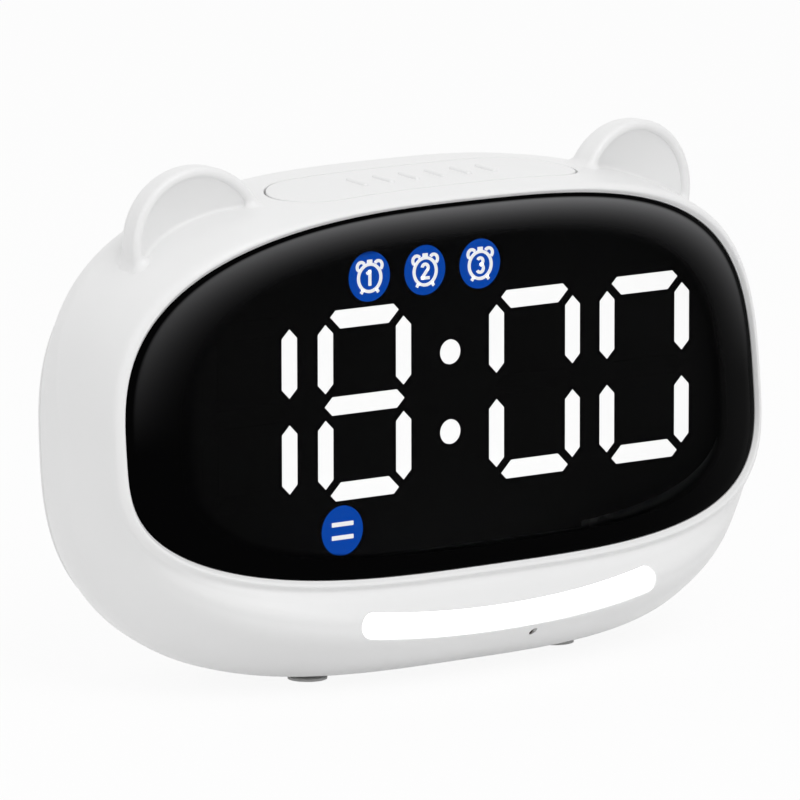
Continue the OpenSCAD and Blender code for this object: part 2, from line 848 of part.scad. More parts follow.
module board_screws() {
    color("silver")
        place()
            for (p = main_posts)
                screw_y(p[0], p[1], screw_r, screw_l, head_r, head_h, main_y, 1);
}
chip_w = 12;
chip_t = 1.4;
chip_x = -chip_w / 2;
chip_z = -2;
module controller_chip() {
    color([0.1, 0.1, 0.1])
        place()
            block([chip_x - chip_w / 2, main_y - chip_t, chip_z - chip_w / 2],
                  [chip_x + chip_w / 2, main_y, chip_z + chip_w / 2]);
}
// Capacitors on the main board: sideways place, radius, height
capacitors = [[-32, 3.2, 7.5], [-24, 2.5, 5.5]];
capacitor_z = 8;
crystal = [10.5, 4.2, 3.5];
crystal_x = 12;
crystal_z = -4;
resistor = [1.2, 0.6, 2];
resistor_step = 3;
module resistors(count, x, y, z) {
    for (i = [0:count - 1])
        translate([x + i * resistor_step, y, z])
            cube(resistor);
}
module board_components() {
    color("saddlebrown")
        place() {
            for (c = capacitors)
                bar_y(c[0], capacitor_z, c[1], main_y - c[2], main_y);
            translate([crystal_x, 0, crystal_z])
                plate_y(main_y - crystal[2], main_y)
                    stadium(crystal[0], crystal[1]);
            resistors(7, crystal_x + 4, main_y - resistor[1], 6);
            resistors(6, -8, display_y + board_t, -4);
        }
}

// --- Rear controls ---
cap_y = body_d + cap_proud;
stem_r = 1.5;
flange_y = inner_d - seat - button_flange_t;
module tact_switches() {
    color([0.15, 0.15, 0.15])
        place()
            for (x = button_xs) {
                block([x - tact / 2, main_y + board_t, button_z - tact / 2],
                      [x + tact / 2, main_y + board_t + tact_h, button_z + tact / 2]);
                bar_y(x, button_z, plunger_r, main_y + board_t + tact_h,
                      main_y + board_t + tact_h + plunger_h);
            }
}
module rear_button(index) {
    x = button_xs[index];
    color("white")
        place() {
            bar_y(x, button_z, button_d / 2, flange_y, cap_y);
            bar_y(x, button_z, button_d / 2 + button_flange, flange_y, flange_y + button_flange_t);
            bar_y(x, button_z, stem_r,
                  main_y + board_t + tact_h + plunger_h + button_travel + seat, flange_y);
        }
}
module set_button() {
    rear_button(0);
}
module down_button() {
    rear_button(1);
}
module up_button() {
    rear_button(2);
}
module alarm_button() {
    rear_button(3);
}
module light_button() {
    rear_button(4);
}
module usb_socket() {
    shell = 0.3;
    tongue = 0.7;
    tongue_in = 1.4;
    leg = 0.8;
    leg_x = 3;
    color("silver")
        place()
            translate([usb_x, 0, usb_z]) {
                plate_y(usb_y, inner_d)
                    difference() {
                        stadium(usb_w, usb_h);
                        stadium(usb_w - 2 * shell, usb_h - 2 * shell);
                    }
                plate_y(usb_y, usb_y + 1)
                    stadium(usb_w - 2 * shell, usb_h - 2 * shell);
                block([-usb_w / 2 + tongue_in, usb_y + 0.5, -tongue / 2],
                      [usb_w / 2 - tongue_in, inner_d - 1.2, tongue / 2]);
                // Legs that stand on the main board
                for (side = [-1, 1])
                    block([side * leg_x - leg, main_y + board_t, -leg],
                          [side * leg_x + leg, usb_y, leg]);
            }
}
module speaker() {
    cone_t = 1.6;
    magnet_r = speaker_d / 2 - 4;
    color([0.2, 0.2, 0.22])
        place() {
            bar_y(speaker_x, speaker_z, speaker_d / 2, inner_d - cone_t - seat, inner_d - seat);
            bar_y(speaker_x, speaker_z, magnet_r, inner_d - speaker_t - seat,
                  inner_d - cone_t - seat);
        }
}
module battery_door() {
    color("white")
        place()
            difference() {
                block([door_x - door_w / 2, body_d - door_t, door_z - door_w / 2],
                      [door_x + door_w / 2, body_d, door_z + door_w / 2]);
                bar_y(door_screw_x, door_screw_z, hole_r, body_d - door_t - 1, body_d + 1);
                bar_y(door_screw_x, door_screw_z, head_r + 0.1, body_d - 1, body_d + 1);
                // Finger groove
                block([door_x - groove_l / 2, body_d - groove_deep, door_z + door_w / 2 - 4],
                      [door_x + groove_l / 2, body_d + 1, door_z + door_w / 2 - 2.4]);
            }
}
module door_screw() {
    color("silver")
        place()
            screw_y(door_screw_x, door_screw_z, screw_r, 3.6, head_r, 0.9, body_d - 1, -1);
}
module coin_cell() {
    color("lightgray")
        place()
            bar_y(door_x, door_z, cell_d / 2, cell_y, cell_y + cell_t);
}
contact_r = 4;
contact_h = 6;
module battery_contacts() {
    color("gold")
        place() {
            bar_y(door_x, door_z, contact_r, body_d - bay_depth + seat, cell_y - seat);
            block([door_x - contact_r, cell_y + cell_t + seat, door_z - contact_h / 2],
                  [door_x + contact_r, cell_y + cell_t + spring_t, door_z + contact_h / 2]);
        }
}

// --- Snooze button ---
module snooze_button() {
    cap_l = snooze_l - 2 * snooze_gap;
    cap_w = snooze_w - 2 * snooze_gap;
    color("white")
        place() {
            difference() {
                intersection() {
                    ring_solid([for (k = [3:split]) body_rings[k]]);
                    translate([0, snooze_y, guide_z])
                        linear_extrude(top_z)
                            stadium(cap_l, cap_w);
                }
                translate([0, snooze_y, guide_z - 1])
                    linear_extrude(guide_h - button_wall + 0.4)
                        stadium(cap_l - 2 * button_wall, cap_w - 2 * button_wall);
            }
            // Flange under the guide wall, joined to the skirt
            translate([0, snooze_y, guide_z - seat - flange_h])
                linear_extrude(flange_h)
                    difference() {
                        stadium(snooze_l + 2 * flange_w, snooze_w + 2 * flange_w);
                        stadium(cap_l - 2 * button_wall, cap_w - 2 * button_wall);
                    }
            translate([0, snooze_y, guide_z - seat - 0.5])
                linear_extrude(1)
                    difference() {
                        stadium(cap_l, cap_w);
                        stadium(cap_l - 2 * button_wall, cap_w - 2 * button_wall);
                    }
            // Post over the switch
            bar_z(0, snooze_board_y, plunger_r + 0.9, guide_z - seat - flange_h, top_z - wall - 1);
        }
}
module snooze_switch() {
    z0 = snooze_board_z + board_t;
    color([0.15, 0.15, 0.15])
        place() {
            block([-tact / 2, snooze_board_y - tact / 2, z0],
                  [tact / 2, snooze_board_y + tact / 2, z0 + tact_h]);
            bar_z(0, snooze_board_y, plunger_r, z0 + tact_h, z0 + tact_h + plunger_h);
        }
}
module snooze_board() {
    board_w = 11;
    color("darkgreen")
        place()
            difference() {
                block([-snooze_post_x - 3, snooze_board_y - board_w / 2, snooze_board_z],
                      [snooze_post_x + 3, snooze_board_y + board_w / 2,
                       snooze_board_z + board_t]);
                for (side = [-1, 1])
                    bar_z(side * snooze_post_x, snooze_board_y, hole_r,
                          snooze_board_z - 1, snooze_board_z + board_t + 1);
            }
}
module snooze_board_screws() {
    color("silver")
        place()
            for (side = [-1, 1]) {
                bar_z(side * snooze_post_x, snooze_board_y, head_r,
                      snooze_board_z - head_h, snooze_board_z);
                bar_z(side * snooze_post_x, snooze_board_y, screw_r,
                      snooze_board_z, snooze_board_z + screw_l);
            }
}

// --- Night light ---
module night_light_diffuser() {
    color("white")
        place()
            intersection() {
                ring_solid([for (k = [3:7]) body_rings[k]]);
                plate_y(front_y - 5, strip_back)
                    strip_band(-seat);
            }
}
module night_light_reflector() {
    color("snow")
        place()
            plate_y(strip_back + seat, night_board_y - seat)
                difference() {
                    strip_band(tray_t);
                    strip_band(0);
                }
}
night_board_w = 2 * (night_post_x + 4);
night_board_h = 13;
night_board_z = strip_mid - 5.4;
night_board_t = 1;
night_wing_h = 7;
module night_light_board() {
    color("darkgreen")
        place()
            plate_y(night_board_y, night_board_y + night_board_t)
                difference() {
                    union() {
                        translate([-strip_l / 2, night_board_z])
                            square([strip_l, night_board_h]);
                        translate([0, night_post_z])
                            square([night_board_w, night_wing_h], center = true);
                    }
                    for (side = [-1, 1])
                        translate([side * night_post_x, night_post_z])
                            circle(r = hole_r, $fn = 48);
                }
}
module night_light_leds() {
    count = 6;
    step = strip_l / count;
    half = 1.4;
    led_h = 0.8;
    color("ivory")
        place()
            for (i = [0:count - 1])
                let(x = (i - (count - 1) / 2) * step, z = strip_line(x))
                    block([strip_x + x - half, night_board_y - led_h, z - half],
                          [strip_x + x + half, night_board_y, z + half]);
}
module light_sensor() {
    color([0.15, 0.15, 0.2])
        place()
            bar_y(sensor_x, sensor_z, sensor_d / 2 - seat, front_y + sensor_sunk, night_board_y);
}

front_housing();
rear_cover();
display_lens();
lens_tape();
reflector_block();
hour_tens();
hour_units();
minute_tens();
minute_units();
colon_dots();
icon_discs();
icon_marks();
segment_leds();
display_board();
display_screws();
board_link();
main_board();
controller_chip();
board_components();
tact_switches();
usb_socket();
board_screws();
speaker();
snooze_button();
snooze_switch();
snooze_board();
snooze_board_screws();
night_light_diffuser();
night_light_reflector();
night_light_board();
night_light_leds();
light_sensor();
set_button();
up_button();
down_button();
alarm_button();
light_button();
battery_door();
door_screw();
coin_cell();
battery_contacts();
housing_screws();
rubber_feet();
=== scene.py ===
import json
import math
import bmesh
import bpy
import numpy as np
from mathutils import Matrix, Vector
from mathutils.bvhtree import BVHTree


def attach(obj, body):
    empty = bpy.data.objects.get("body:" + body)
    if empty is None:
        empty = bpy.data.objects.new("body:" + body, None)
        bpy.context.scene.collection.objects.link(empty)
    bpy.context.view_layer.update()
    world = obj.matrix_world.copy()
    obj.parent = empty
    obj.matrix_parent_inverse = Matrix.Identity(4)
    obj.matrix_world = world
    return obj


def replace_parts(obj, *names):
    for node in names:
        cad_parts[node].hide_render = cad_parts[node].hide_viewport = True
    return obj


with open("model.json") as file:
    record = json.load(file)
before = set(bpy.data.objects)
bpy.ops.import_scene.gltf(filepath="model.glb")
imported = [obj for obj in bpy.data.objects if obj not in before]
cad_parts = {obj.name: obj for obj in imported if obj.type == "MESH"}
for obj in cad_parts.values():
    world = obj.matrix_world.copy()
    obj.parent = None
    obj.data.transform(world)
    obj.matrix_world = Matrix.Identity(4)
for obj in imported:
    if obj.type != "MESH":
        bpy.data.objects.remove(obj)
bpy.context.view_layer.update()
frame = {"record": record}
mm = 0.001
print("frame loaded")

# The clock's body, in mm, in the screen's own frame: X across, Y back, Z up from the digit line
body = dict(
    screenWide=156.4, screenUp=39.9, screenDown=32.9, screenWrap=12.3,  # the dark screen
    screenTilt=0.1045, screenFront=1.2,
    margin=2.2, topMargin=4.0, chin=22.4, depth=51.2, coverDepth=7.2,  # the white shell
    wall=2.2, bead=0.9, capProud=0.8, footHigh=0.5, widest=-5.0,
    upperSquare=2.8, lowerSquare=3.3,
    seamChamfer=0.3, seamGap=0.1,  # where the housing meets the rear cover
    stations=480, steps=8, samples=400,  # points round the oval, and rings between two given rings
    skinStations=360, skinSteps=6,
)
halfWide = body["screenWide"] / 2 + body["margin"]
topZ = body["screenUp"] + body["topMargin"]
baseZ = -body["screenDown"] - body["chin"]
level = body["widest"]


def along(a, b, share):
    return a + (b - a) * share


def screenY(x, z):
    reach = body["screenWide"] / 2
    return (body["screenFront"] + body["screenTilt"] * z
            + body["screenWrap"] * (abs(x) / reach) ** 3)


def screenRing(inset, back):
    a = body["screenWide"] / 2 - inset
    up = body["screenUp"] - inset
    down = -body["screenDown"] + inset
    return np.array([a, up, down, screenY(a, level) + back, screenY(0, up) + back,
                     screenY(0, down) + back, body["upperSquare"], body["lowerSquare"]])


# Rings of the shell: half width, top, bottom, how far back its sides, top and bottom lie,
# and the squareness of its upper and lower corners
def bodyRings():
    edge = screenRing(0, 0)
    splitTop = body["depth"] - body["coverDepth"]
    splitBottom = splitTop - 4.7
    rear = body["depth"]
    sideY = lambda share: along(edge[3], splitTop, share)
    topY = lambda share: along(edge[4], splitTop, share)
    bottomY = lambda share: along(edge[5], splitBottom, share)
    chinZ = lambda share: -body["screenDown"] - body["chin"] * share
    rim = body["bead"]
    return np.array([
        edge,
        [edge[0] + 0.8, edge[1] + 0.8, chinZ(0.045), edge[3] - rim, edge[4] - rim,
         edge[5] - rim, 2.85, 3.3],
        [halfWide - 0.2, edge[1] + 1.6, chinZ(0.1), edge[3] + 0.7, edge[4] + 0.1,
         edge[5] - 0.3, 2.9, 3.3],
        [halfWide, topZ - 1.8, chinZ(0.19), sideY(0.118), topY(0.073), edge[5] - 2, 2.95, 3.2],
        [halfWide, topZ - 1.4, chinZ(0.374), sideY(0.235), topY(0.171), edge[5] - 4.3, 3.1, 3.1],
        [halfWide, topZ - 1.1, chinZ(0.6), sideY(0.365), topY(0.3), edge[5] - 3, 3.15, 3.1],
        [halfWide, topZ - 0.8, chinZ(0.824), sideY(0.49), topY(0.456), bottomY(0.102), 3.15, 3.25],
        [halfWide, topZ - 0.4, chinZ(0.964), sideY(0.584), topY(0.611), bottomY(0.287), 3.15,
         3.45],
        [halfWide + 0.1, topZ - 0.1, baseZ, sideY(0.66), topY(0.754), bottomY(0.494), 3.05, 3.5],
        [halfWide - 0.2, topZ, baseZ, sideY(0.8), topY(0.9), bottomY(0.764), 2.85, 3.25],
        [halfWide - 0.9, topZ - 1.5, baseZ + 1, splitTop - 2.3, splitTop, splitBottom, 2.55, 2.9],
        [halfWide - 6, topZ - 6.4, baseZ + 5.2, rear - 4.4, rear - 3.6, rear - 4.1, 2.4, 2.75],
        [halfWide - 13, topZ - 12.5, baseZ + 11.5, rear - 1.1, rear - 1, rear - 1, 2.3, 2.5],
        [halfWide - 20, topZ - 19, baseZ + 19, rear, rear, rear, 2.3, 2.4]])


rings = bodyRings()
splitRing = 10
frontReach = rings[4][5]
depthShift = -(frontReach + body["depth"] + body["capProud"]) / 2
lift = body["footHigh"] - baseZ


# From the screen's frame in mm to the clock's frame in metres
def place(points):
    points = np.asarray(points, float)
    return (points + np.array([0, depthShift, lift])) * mm


def inwards(before, after):
    t = np.subtract(after, before)
    return np.array([-t[1], t[0]]) / np.linalg.norm(t)


# A ring moved into the body, along the normals of its side, top and bottom outlines
def innerRing(k, depth):
    r, p, q = rings[k], rings[max(k - 1, 0)], rings[min(k + 1, len(rings) - 1)]
    side = lambda g: (g[0], g[3])
    top = lambda g: (g[1] - level, g[4])
    bottom = lambda g: (level - g[2], g[5])
    s = np.add(side(r), depth * inwards(side(p), side(q)))
    u = np.add(top(r), depth * inwards(top(p), top(q)))
    d = np.add(bottom(r), depth * inwards(bottom(p), bottom(q)))
    return np.array([s[0], level + u[0], level - d[0], s[1], u[1], d[1], r[6], r[7]])


# Rings between the given ones, on a smooth curve through them
def smoothRings(table, steps):
    out = []
    ends = np.vstack([2 * table[0] - table[1], table, 2 * table[-1] - table[-2]])
    for k in range(len(table) - 1):
        p0, p1, p2, p3 = ends[k:k + 4]
        for i in range(steps):
            t = i / steps
            out.append(0.5 * (2 * p1 + (p2 - p0) * t + (2 * p0 - 5 * p1 + 4 * p2 - p3) * t ** 2
                              + (3 * p1 - p0 - 3 * p2 + p3) * t ** 3))
    out.append(table[-1])
    return np.clip(out, table.min(0), table.max(0))


# Evenly spaced points of a ring, the same number in each quarter
def ringPoints(r, count=None):
    quarter = (count or body["stations"]) // 4
    out = []
    for q in range(4):
        a = np.linspace(q * math.pi / 2, (q + 1) * math.pi / 2, body["samples"])
        c, s = np.cos(a), np.sin(a)
        up = q < 2
        power = 2 / (r[6] if up else r[7])
        reach = r[1] - level if up else level - r[2]
        x = r[0] * np.sign(c) * np.abs(c) ** power
        z = level + reach * np.sign(s) * np.abs(s) ** power
        length = np.concatenate([[0], np.cumsum(np.hypot(np.diff(x), np.diff(z)))])
        at = np.linspace(0, length[-1], quarter + 1)[:-1]
        x, z = np.interp(at, length, x), np.interp(at, length, z)
        slope = (r[4] - r[5]) / (r[1] - r[2])
        y0 = r[4] - slope * r[1]
        bulge = r[3] - y0 - slope * level
        out.append(np.stack([x, y0 + slope * z + bulge * (np.abs(x) / r[0]) ** 3, z], 1))
    return np.concatenate(out)


# --- shader maths
class Socket:
    def __init__(self, nodes, made, key=0):
        self.nodes = nodes
        self.made = made
        self.output = made.outputs[key] if made.outputs else None

    def part(self, key):
        return Socket(self.nodes, self.made, key)

    def maths(self, operation, a, b):
        return self.nodes.node("ShaderNodeMath", dict(operation=operation), {0: a, 1: b})

    def __add__(self, other):
        return self.maths("ADD", self, other)

    def __radd__(self, other):
        return self.maths("ADD", other, self)

    def __sub__(self, other):
        return self.maths("SUBTRACT", self, other)

    def __rsub__(self, other):
        return self.maths("SUBTRACT", other, self)

    def __mul__(self, other):
        return self.maths("MULTIPLY", self, other)

    def __rmul__(self, other):
        return self.maths("MULTIPLY", other, self)

    def __truediv__(self, other):
        return self.maths("DIVIDE", self, other)

    def __rtruediv__(self, other):
        return self.maths("DIVIDE", other, self)

    def __pow__(self, other):
        return self.maths("POWER", self, other)

    def __rpow__(self, other):
        return self.maths("POWER", other, self)


socketNames = dict(colour="Base Color", rough="Roughness", metal="Metallic", coat="Coat Weight",
                   alpha="Alpha", glow="Emission Color", glowStrength="Emission Strength",
                   shine="Specular IOR Level", normal="Normal")


class Nodes:
    def __init__(self, tree):
        self.tree = tree
        tree.nodes.clear()

    def put(self, socket, value):
        if isinstance(value, Socket):
            self.tree.links.new(value.output, socket)
        elif isinstance(value, (tuple, list)) and len(value) == 3 and socket.type == "RGBA":
            socket.default_value = (*value, 1)
        else:
            socket.default_value = value

    def node(self, kind, settings=None, sockets=None, output=0):
        made = self.tree.nodes.new(kind)
        for name, value in (settings or {}).items():
            setattr(made, name, value)
        for key, value in (sockets or {}).items():
            self.put(made.inputs[key], value)
        return Socket(self, made, output)

    # 1 for what is looked at, straight or in gloss or glass, and 0 for the light it sheds
    def seen(self):
        ray = self.node("ShaderNodeLightPath")
        return (ray.part("Is Camera Ray") + ray.part("Is Glossy Ray")
                + ray.part("Is Transmission Ray"))


class Finish(Nodes):
    def __init__(self, name, **plain):
        self.material = bpy.data.materials.new(name)
        self.material.use_nodes = True
        super().__init__(self.material.node_tree)
        self.shader = self.node("ShaderNodeBsdfPrincipled")
        self.set(**plain)
        self.end = self.node("ShaderNodeOutputMaterial", None, {"Surface": self.shader})

    def set(self, **values):
        for name, value in values.items():
            self.put(self.shader.made.inputs[socketNames[name]], value)

    def where(self):
        return self.node("ShaderNodeTexCoord", output=3)  # the object's own coordinates

    def noise(self, scale, detail=3, rough=0.5):
        return self.node("ShaderNodeTexNoise", dict(noise_dimensions="3D"),
                         {"Vector": self.where(), "Scale": scale, "Detail": detail,
                          "Roughness": rough})

    def mix(self, share, a, b):
        return self.node("ShaderNodeMix", dict(data_type="RGBA"), {0: share, 6: a, 7: b}, output=2)

    def ramp(self, value, low, high, start=0.0, end=1.0):
        return self.node("ShaderNodeMapRange", dict(interpolation_type="SMOOTHSTEP"),
                         {0: value, 1: low, 2: high, 3: start, 4: end})

    def bump(self, height, strength, distance):
        return self.node("ShaderNodeBump", None, {"Height": height, "Strength": strength,
                                                  "Distance": distance})

    def axes(self):
        split = self.node("ShaderNodeSeparateXYZ", None, {0: self.where()})
        return [split.part(k) for k in range(3)]


def finish(make):
    make()
    return make


mouldLook = dict(cloud=45, fine=2600, spread=0.08, relief=0.00004)


def moulded(name, colour, shade, rough, grain):
    f = Finish(name, coat=0.0)
    cloud = f.noise(mouldLook["cloud"], 3)
    fine = f.noise(mouldLook["fine"], 2)
    spread = mouldLook["spread"]
    f.set(colour=f.mix(cloud, colour, shade), rough=rough - spread / 2 + spread * cloud,
          normal=f.bump(fine, grain, mouldLook["relief"]))
    return f


@finish
def whiteShell():
    return moulded("whiteShell", (0.85, 0.85, 0.85), (0.825, 0.825, 0.825), 0.33, 0.03)


@finish
def whiteButton():
    return moulded("whiteButton", (0.85, 0.85, 0.85), (0.83, 0.83, 0.83), 0.36, 0.04)


# The grey colour and its spread below are a painted reflection of studio light on the glass
lensLook = dict(black=(0.0006, 0.0006, 0.0007), paintedReflection=(0.158, 0.158, 0.162), seeThrough=0.45,
                reflectionStart=0.76, reflectionEnd=0.97, fade=3.6, slope=1.6, left=0.85, toRight=0.25,
                clearEnd=0.82, darkStart=0.87, band=0.985, bandSoft=0.01, shine=0.012)


# Dark glass, clear enough in the middle for what is lit behind it, with a painted reflection:
# grey painted into its colour that grows towards its upper edge and to the right, and a black band
# round it
@finish
def darkLens():
    f = Finish("darkLens", rough=0.03, shine=lensLook["shine"])
    x, y, z = f.axes()
    half = body["screenWide"] / 2 * mm
    above, below = (body["screenUp"] - level) * mm, (body["screenDown"] + level) * mm
    middle = (level + lift) * mm
    across = f.node("ShaderNodeMath", dict(operation="ABSOLUTE"), {0: x}) / half
    up = f.node("ShaderNodeMath", dict(operation="MAXIMUM"), {0: z - middle, 1: 0.0}) / above
    down = f.node("ShaderNodeMath", dict(operation="MAXIMUM"), {0: middle - z, 1: 0.0}) / below
    square, lowSquare = body["upperSquare"], body["lowerSquare"]
    upper = (across ** square + up ** square) ** (1 / square)
    lower = (across ** lowSquare + down ** lowSquare) ** (1 / lowSquare)
    isUpper = f.node("ShaderNodeMath", dict(operation="GREATER_THAN"), {0: z, 1: middle})
    out = upper * isUpper + lower * (1 - isUpper)  # 1 at the edge of the screen
    # Painted reflection: grey painted into the lens colour near its upper edge
    paintedReflection = f.node("ShaderNodeMapRange", dict(clamp=True),
                  {0: upper, 1: lensLook["reflectionStart"], 2: lensLook["reflectionEnd"]}) ** lensLook["fade"]
    inside = 1 - f.ramp(out, lensLook["band"] - lensLook["bandSoft"], lensLook["band"])
    # The painted reflection is made stronger towards the right
    reflectionSlant = lensLook["left"] + lensLook["toRight"] * (x / half)
    f.set(colour=f.mix(paintedReflection * inside * reflectionSlant * up ** lensLook["slope"], lensLook["black"],
                       lensLook["paintedReflection"]),
          alpha=f.ramp(out, lensLook["clearEnd"], lensLook["darkStart"], lensLook["seeThrough"],
                       1.0))
    f.material.surface_render_method = "BLENDED"
    return f


def plainBlack(name, colour, rough):
    f = Finish(name)
    cloud = f.noise(300, 3)
    f.set(colour=f.mix(cloud, colour, tuple(1.6 * c for c in colour)),
          rough=rough - 0.05 + 0.1 * cloud)
    return f


@finish
def blackTape():
    return plainBlack("blackTape", (0.004, 0.004, 0.004), 0.9)


@finish
def blackPlastic():
    return plainBlack("blackPlastic", (0.001, 0.001, 0.001), 0.85)


@finish
def unlitSegment():
    return plainBlack("unlitSegment", (0.001, 0.001, 0.001), 0.85)


def glowing(name, colour, light, strength):
    f = Finish(name, rough=0.4, glowStrength=strength)
    cloud = f.noise(220, 2)
    f.set(colour=f.mix(cloud, colour, tuple(0.96 * c for c in colour)),
          glow=f.mix(cloud, light, tuple(0.97 * c for c in light)))
    return f


@finish
def litDigit():
    return glowing("litDigit", (0.9, 0.9, 0.9), (1, 1, 1), 3.0)


@finish
def blueIcon():
    return glowing("blueIcon", (0.0, 0.02, 0.12), (0.0, 0.14, 0.95), 1.2)


@finish
def whiteMark():
    return glowing("whiteMark", (0.9, 0.9, 0.9), (1, 1, 1), 2.6)


@finish
def lightStrip():
    return glowing("lightStrip", (0.9, 0.9, 0.9), (1, 1, 1), 1.0)


@finish
def ledIvory():
    return moulded("ledIvory", (0.8, 0.72, 0.45), (0.75, 0.68, 0.42), 0.4, 0.05)


boardLook = dict(mask=(0.01, 0.075, 0.03), track=(0.02, 0.13, 0.05), cells=260.0, line=0.06,
                 rough=0.35, relief=0.00003)


@finish
def greenBoard():
    f = Finish("greenBoard", rough=boardLook["rough"])
    tracks = f.node("ShaderNodeTexVoronoi", dict(feature="DISTANCE_TO_EDGE"),
                    {"Vector": f.where(), "Scale": boardLook["cells"]})
    line = f.node("ShaderNodeMath", dict(operation="LESS_THAN"), {0: tracks, 1: boardLook["line"]})
    f.set(colour=f.mix(line, boardLook["mask"], boardLook["track"]),
          normal=f.bump(line, 0.3, boardLook["relief"]))
    return f


@finish
def component():
    return moulded("component", (0.22, 0.11, 0.05), (0.16, 0.08, 0.04), 0.45, 0.1)


def metal(name, colour, rough):
    f = Finish(name, metal=1.0)
    cloud = f.noise(900, 4, 0.6)
    f.set(colour=f.mix(cloud, colour, tuple(0.86 * c for c in colour)),
          rough=rough + 0.12 * cloud)
    return f


@finish
def steel():
    return metal("steel", (0.62, 0.62, 0.64), 0.24)


@finish
def cellSteel():
    return metal("cellSteel", (0.7, 0.7, 0.7), 0.2)


@finish
def contactBrass():
    return metal("contactBrass", (0.8, 0.62, 0.3), 0.22)


@finish
def speakerBody():
    return moulded("speakerBody", (0.03, 0.03, 0.032), (0.04, 0.04, 0.042), 0.45, 0.1)


@finish
def darkSensor():
    return plainBlack("darkSensor", (0.03, 0.012, 0.012), 0.3)


@finish
def footRubber():
    return moulded("footRubber", (0.85, 0.85, 0.84), (0.8, 0.8, 0.79), 0.7, 0.1)


slotFinish = dict(
    white_shell="whiteShell", white_button="whiteButton", dark_lens="darkLens",
    black_tape="blackTape", black_plastic="blackPlastic", lit_digit="litDigit",
    blue_icon="blueIcon", white_mark="whiteMark", led_ivory="ledIvory",
    green_board="greenBoard", component="component", steel="steel",
    speaker_body="speakerBody", light_strip="lightStrip", dark_sensor="darkSensor",
    cell_steel="cellSteel", contact_brass="contactBrass", foot_rubber="footRubber")
for part in frame["record"]["subparts"]:
    kept = bpy.data.objects.get(part["node"])
    if kept:
        kept.data.materials.clear()
        kept.data.materials.append(bpy.data.materials[slotFinish[part["material_slot"]]])
print("finishes made")


# --- mesh helpers
def makePiece(name, verts, faces, look, rides="housing", slot=None, smooth=True):
    mesh = bpy.data.meshes.new(name)
    mesh.from_pydata([tuple(v) for v in verts], [], [tuple(int(i) for i in f) for f in faces])
    mesh.update()
    obj = bpy.data.objects.new(name, mesh)
    bpy.context.scene.collection.objects.link(obj)
    if look:
        mesh.materials.append(bpy.data.materials[look])
    if smooth:
        mesh.polygons.foreach_set("use_smooth", [True] * len(mesh.polygons))
    if rides:
        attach(obj, rides)
    return obj


# Quads between neighbouring rings of points
def bands(ringCount, size, closed):
    rows = np.arange(ringCount if closed else ringCount - 1)
    a = (rows[:, None] * size + np.arange(size)).ravel()
    b = (rows[:, None] * size + (np.arange(size) + 1) % size).ravel()
    up = size * ringCount
    return np.stack([a, b, (b + size) % up, (a + size) % up], 1)


# A piece through rings of points, closed into a loop or capped at both ends
def skinPiece(name, loops, closed, look, **more):
    size = len(loops[0])
    faces = [list(f) for f in bands(len(loops), size, closed)]
    if not closed:
        faces.append(list(range(size))[::-1])
        faces.append([(len(loops) - 1) * size + i for i in range(size)])
    obj = makePiece(name, place(np.concatenate(loops)), faces, look, **more)
    turnOut(obj)
    return obj


def loft(name, table, look, closed, **more):
    return skinPiece(name, [ringPoints(r) for r in table], closed, look, **more)


# A tool between two outlines of X and Z
def prism(name, outline, low, high):
    lay = lambda y: np.array([(x, y, z) for x, z in outline])
    return skinPiece(name, [lay(low), lay(high)], False, None, rides=None, smooth=False)


def turnOut(obj):
    work = bmesh.new()
    work.from_mesh(obj.data)
    bmesh.ops.recalc_face_normals(work, faces=work.faces)
    work.to_mesh(obj.data)
    work.free()


def joined(objects):
    work = bmesh.new()
    for obj in objects:
        work.from_mesh(obj.data)
    mesh = bpy.data.meshes.new("joined")
    work.to_mesh(mesh)
    work.free()
    for obj in objects:
        bpy.data.objects.remove(obj, do_unlink=True)
    whole = bpy.data.objects.new("joined", mesh)
    bpy.context.scene.collection.objects.link(whole)
    return whole


def carve(obj, tool, operation="DIFFERENCE"):
    modifier = obj.modifiers.new("carve", "BOOLEAN")
    modifier.operation = operation
    modifier.solver = "EXACT"
    modifier.object = tool
    graph = bpy.context.evaluated_depsgraph_get()
    mesh = bpy.data.meshes.new_from_object(obj.evaluated_get(graph))
    old = obj.data
    obj.modifiers.clear()
    obj.data = mesh
    bpy.data.meshes.remove(old)
    bpy.data.objects.remove(tool, do_unlink=True)


def smoothByAngle(obj, angle=40):
    obj.data.polygons.foreach_set("use_smooth", [True] * len(obj.data.polygons))
    obj.data.set_sharp_from_angle(angle=math.radians(angle))


def stadiumOutline(length, width, cx, cy, steps=24, straight=1):
    r = width / 2
    reach = length / 2 - r
    out = []
    for side in (1, -1):
        for i in range(steps + 1):
            a = math.radians(-90 + 180 * i / steps) + (math.pi if side < 0 else 0)
            out.append((cx + side * reach + r * math.cos(a), cy + r * math.sin(a)))
        for i in range(1, straight):
            out.append((cx + side * along(reach, -reach, i / straight), cy + side * r))
    return out


def circleOutline(x, y, r, steps=64):
    return [(x + r * math.cos(math.tau * i / steps), y + r * math.sin(math.tau * i / steps))
            for i in range(steps)]


# The body's skin, for whatever has to follow it
def skinTree():
    size = body["skinStations"]
    loops = [ringPoints(r, size) for r in smoothRings(rings, body["skinSteps"])]
    points = np.concatenate(loops)
    return BVHTree.FromPolygons([Vector(p) for p in points],
                                [tuple(int(i) for i in f) for f in bands(len(loops), size, False)])


skin = skinTree()
probe = dict(above=30, before=-60)  # where the rays that find the skin start


def topAt(x, y):
    return skin.ray_cast(Vector((x, y, topZ + probe["above"])), Vector((0, 0, -1)))[0][2]


def frontAt(x, z):
    return skin.ray_cast(Vector((x, probe["before"], z)), Vector((0, 1, 0)))[0][1]


softCut = dict(flare=1.2, rise=0.2, angles=(20, 32, 45, 60, 75, 90), above=8, before=6)


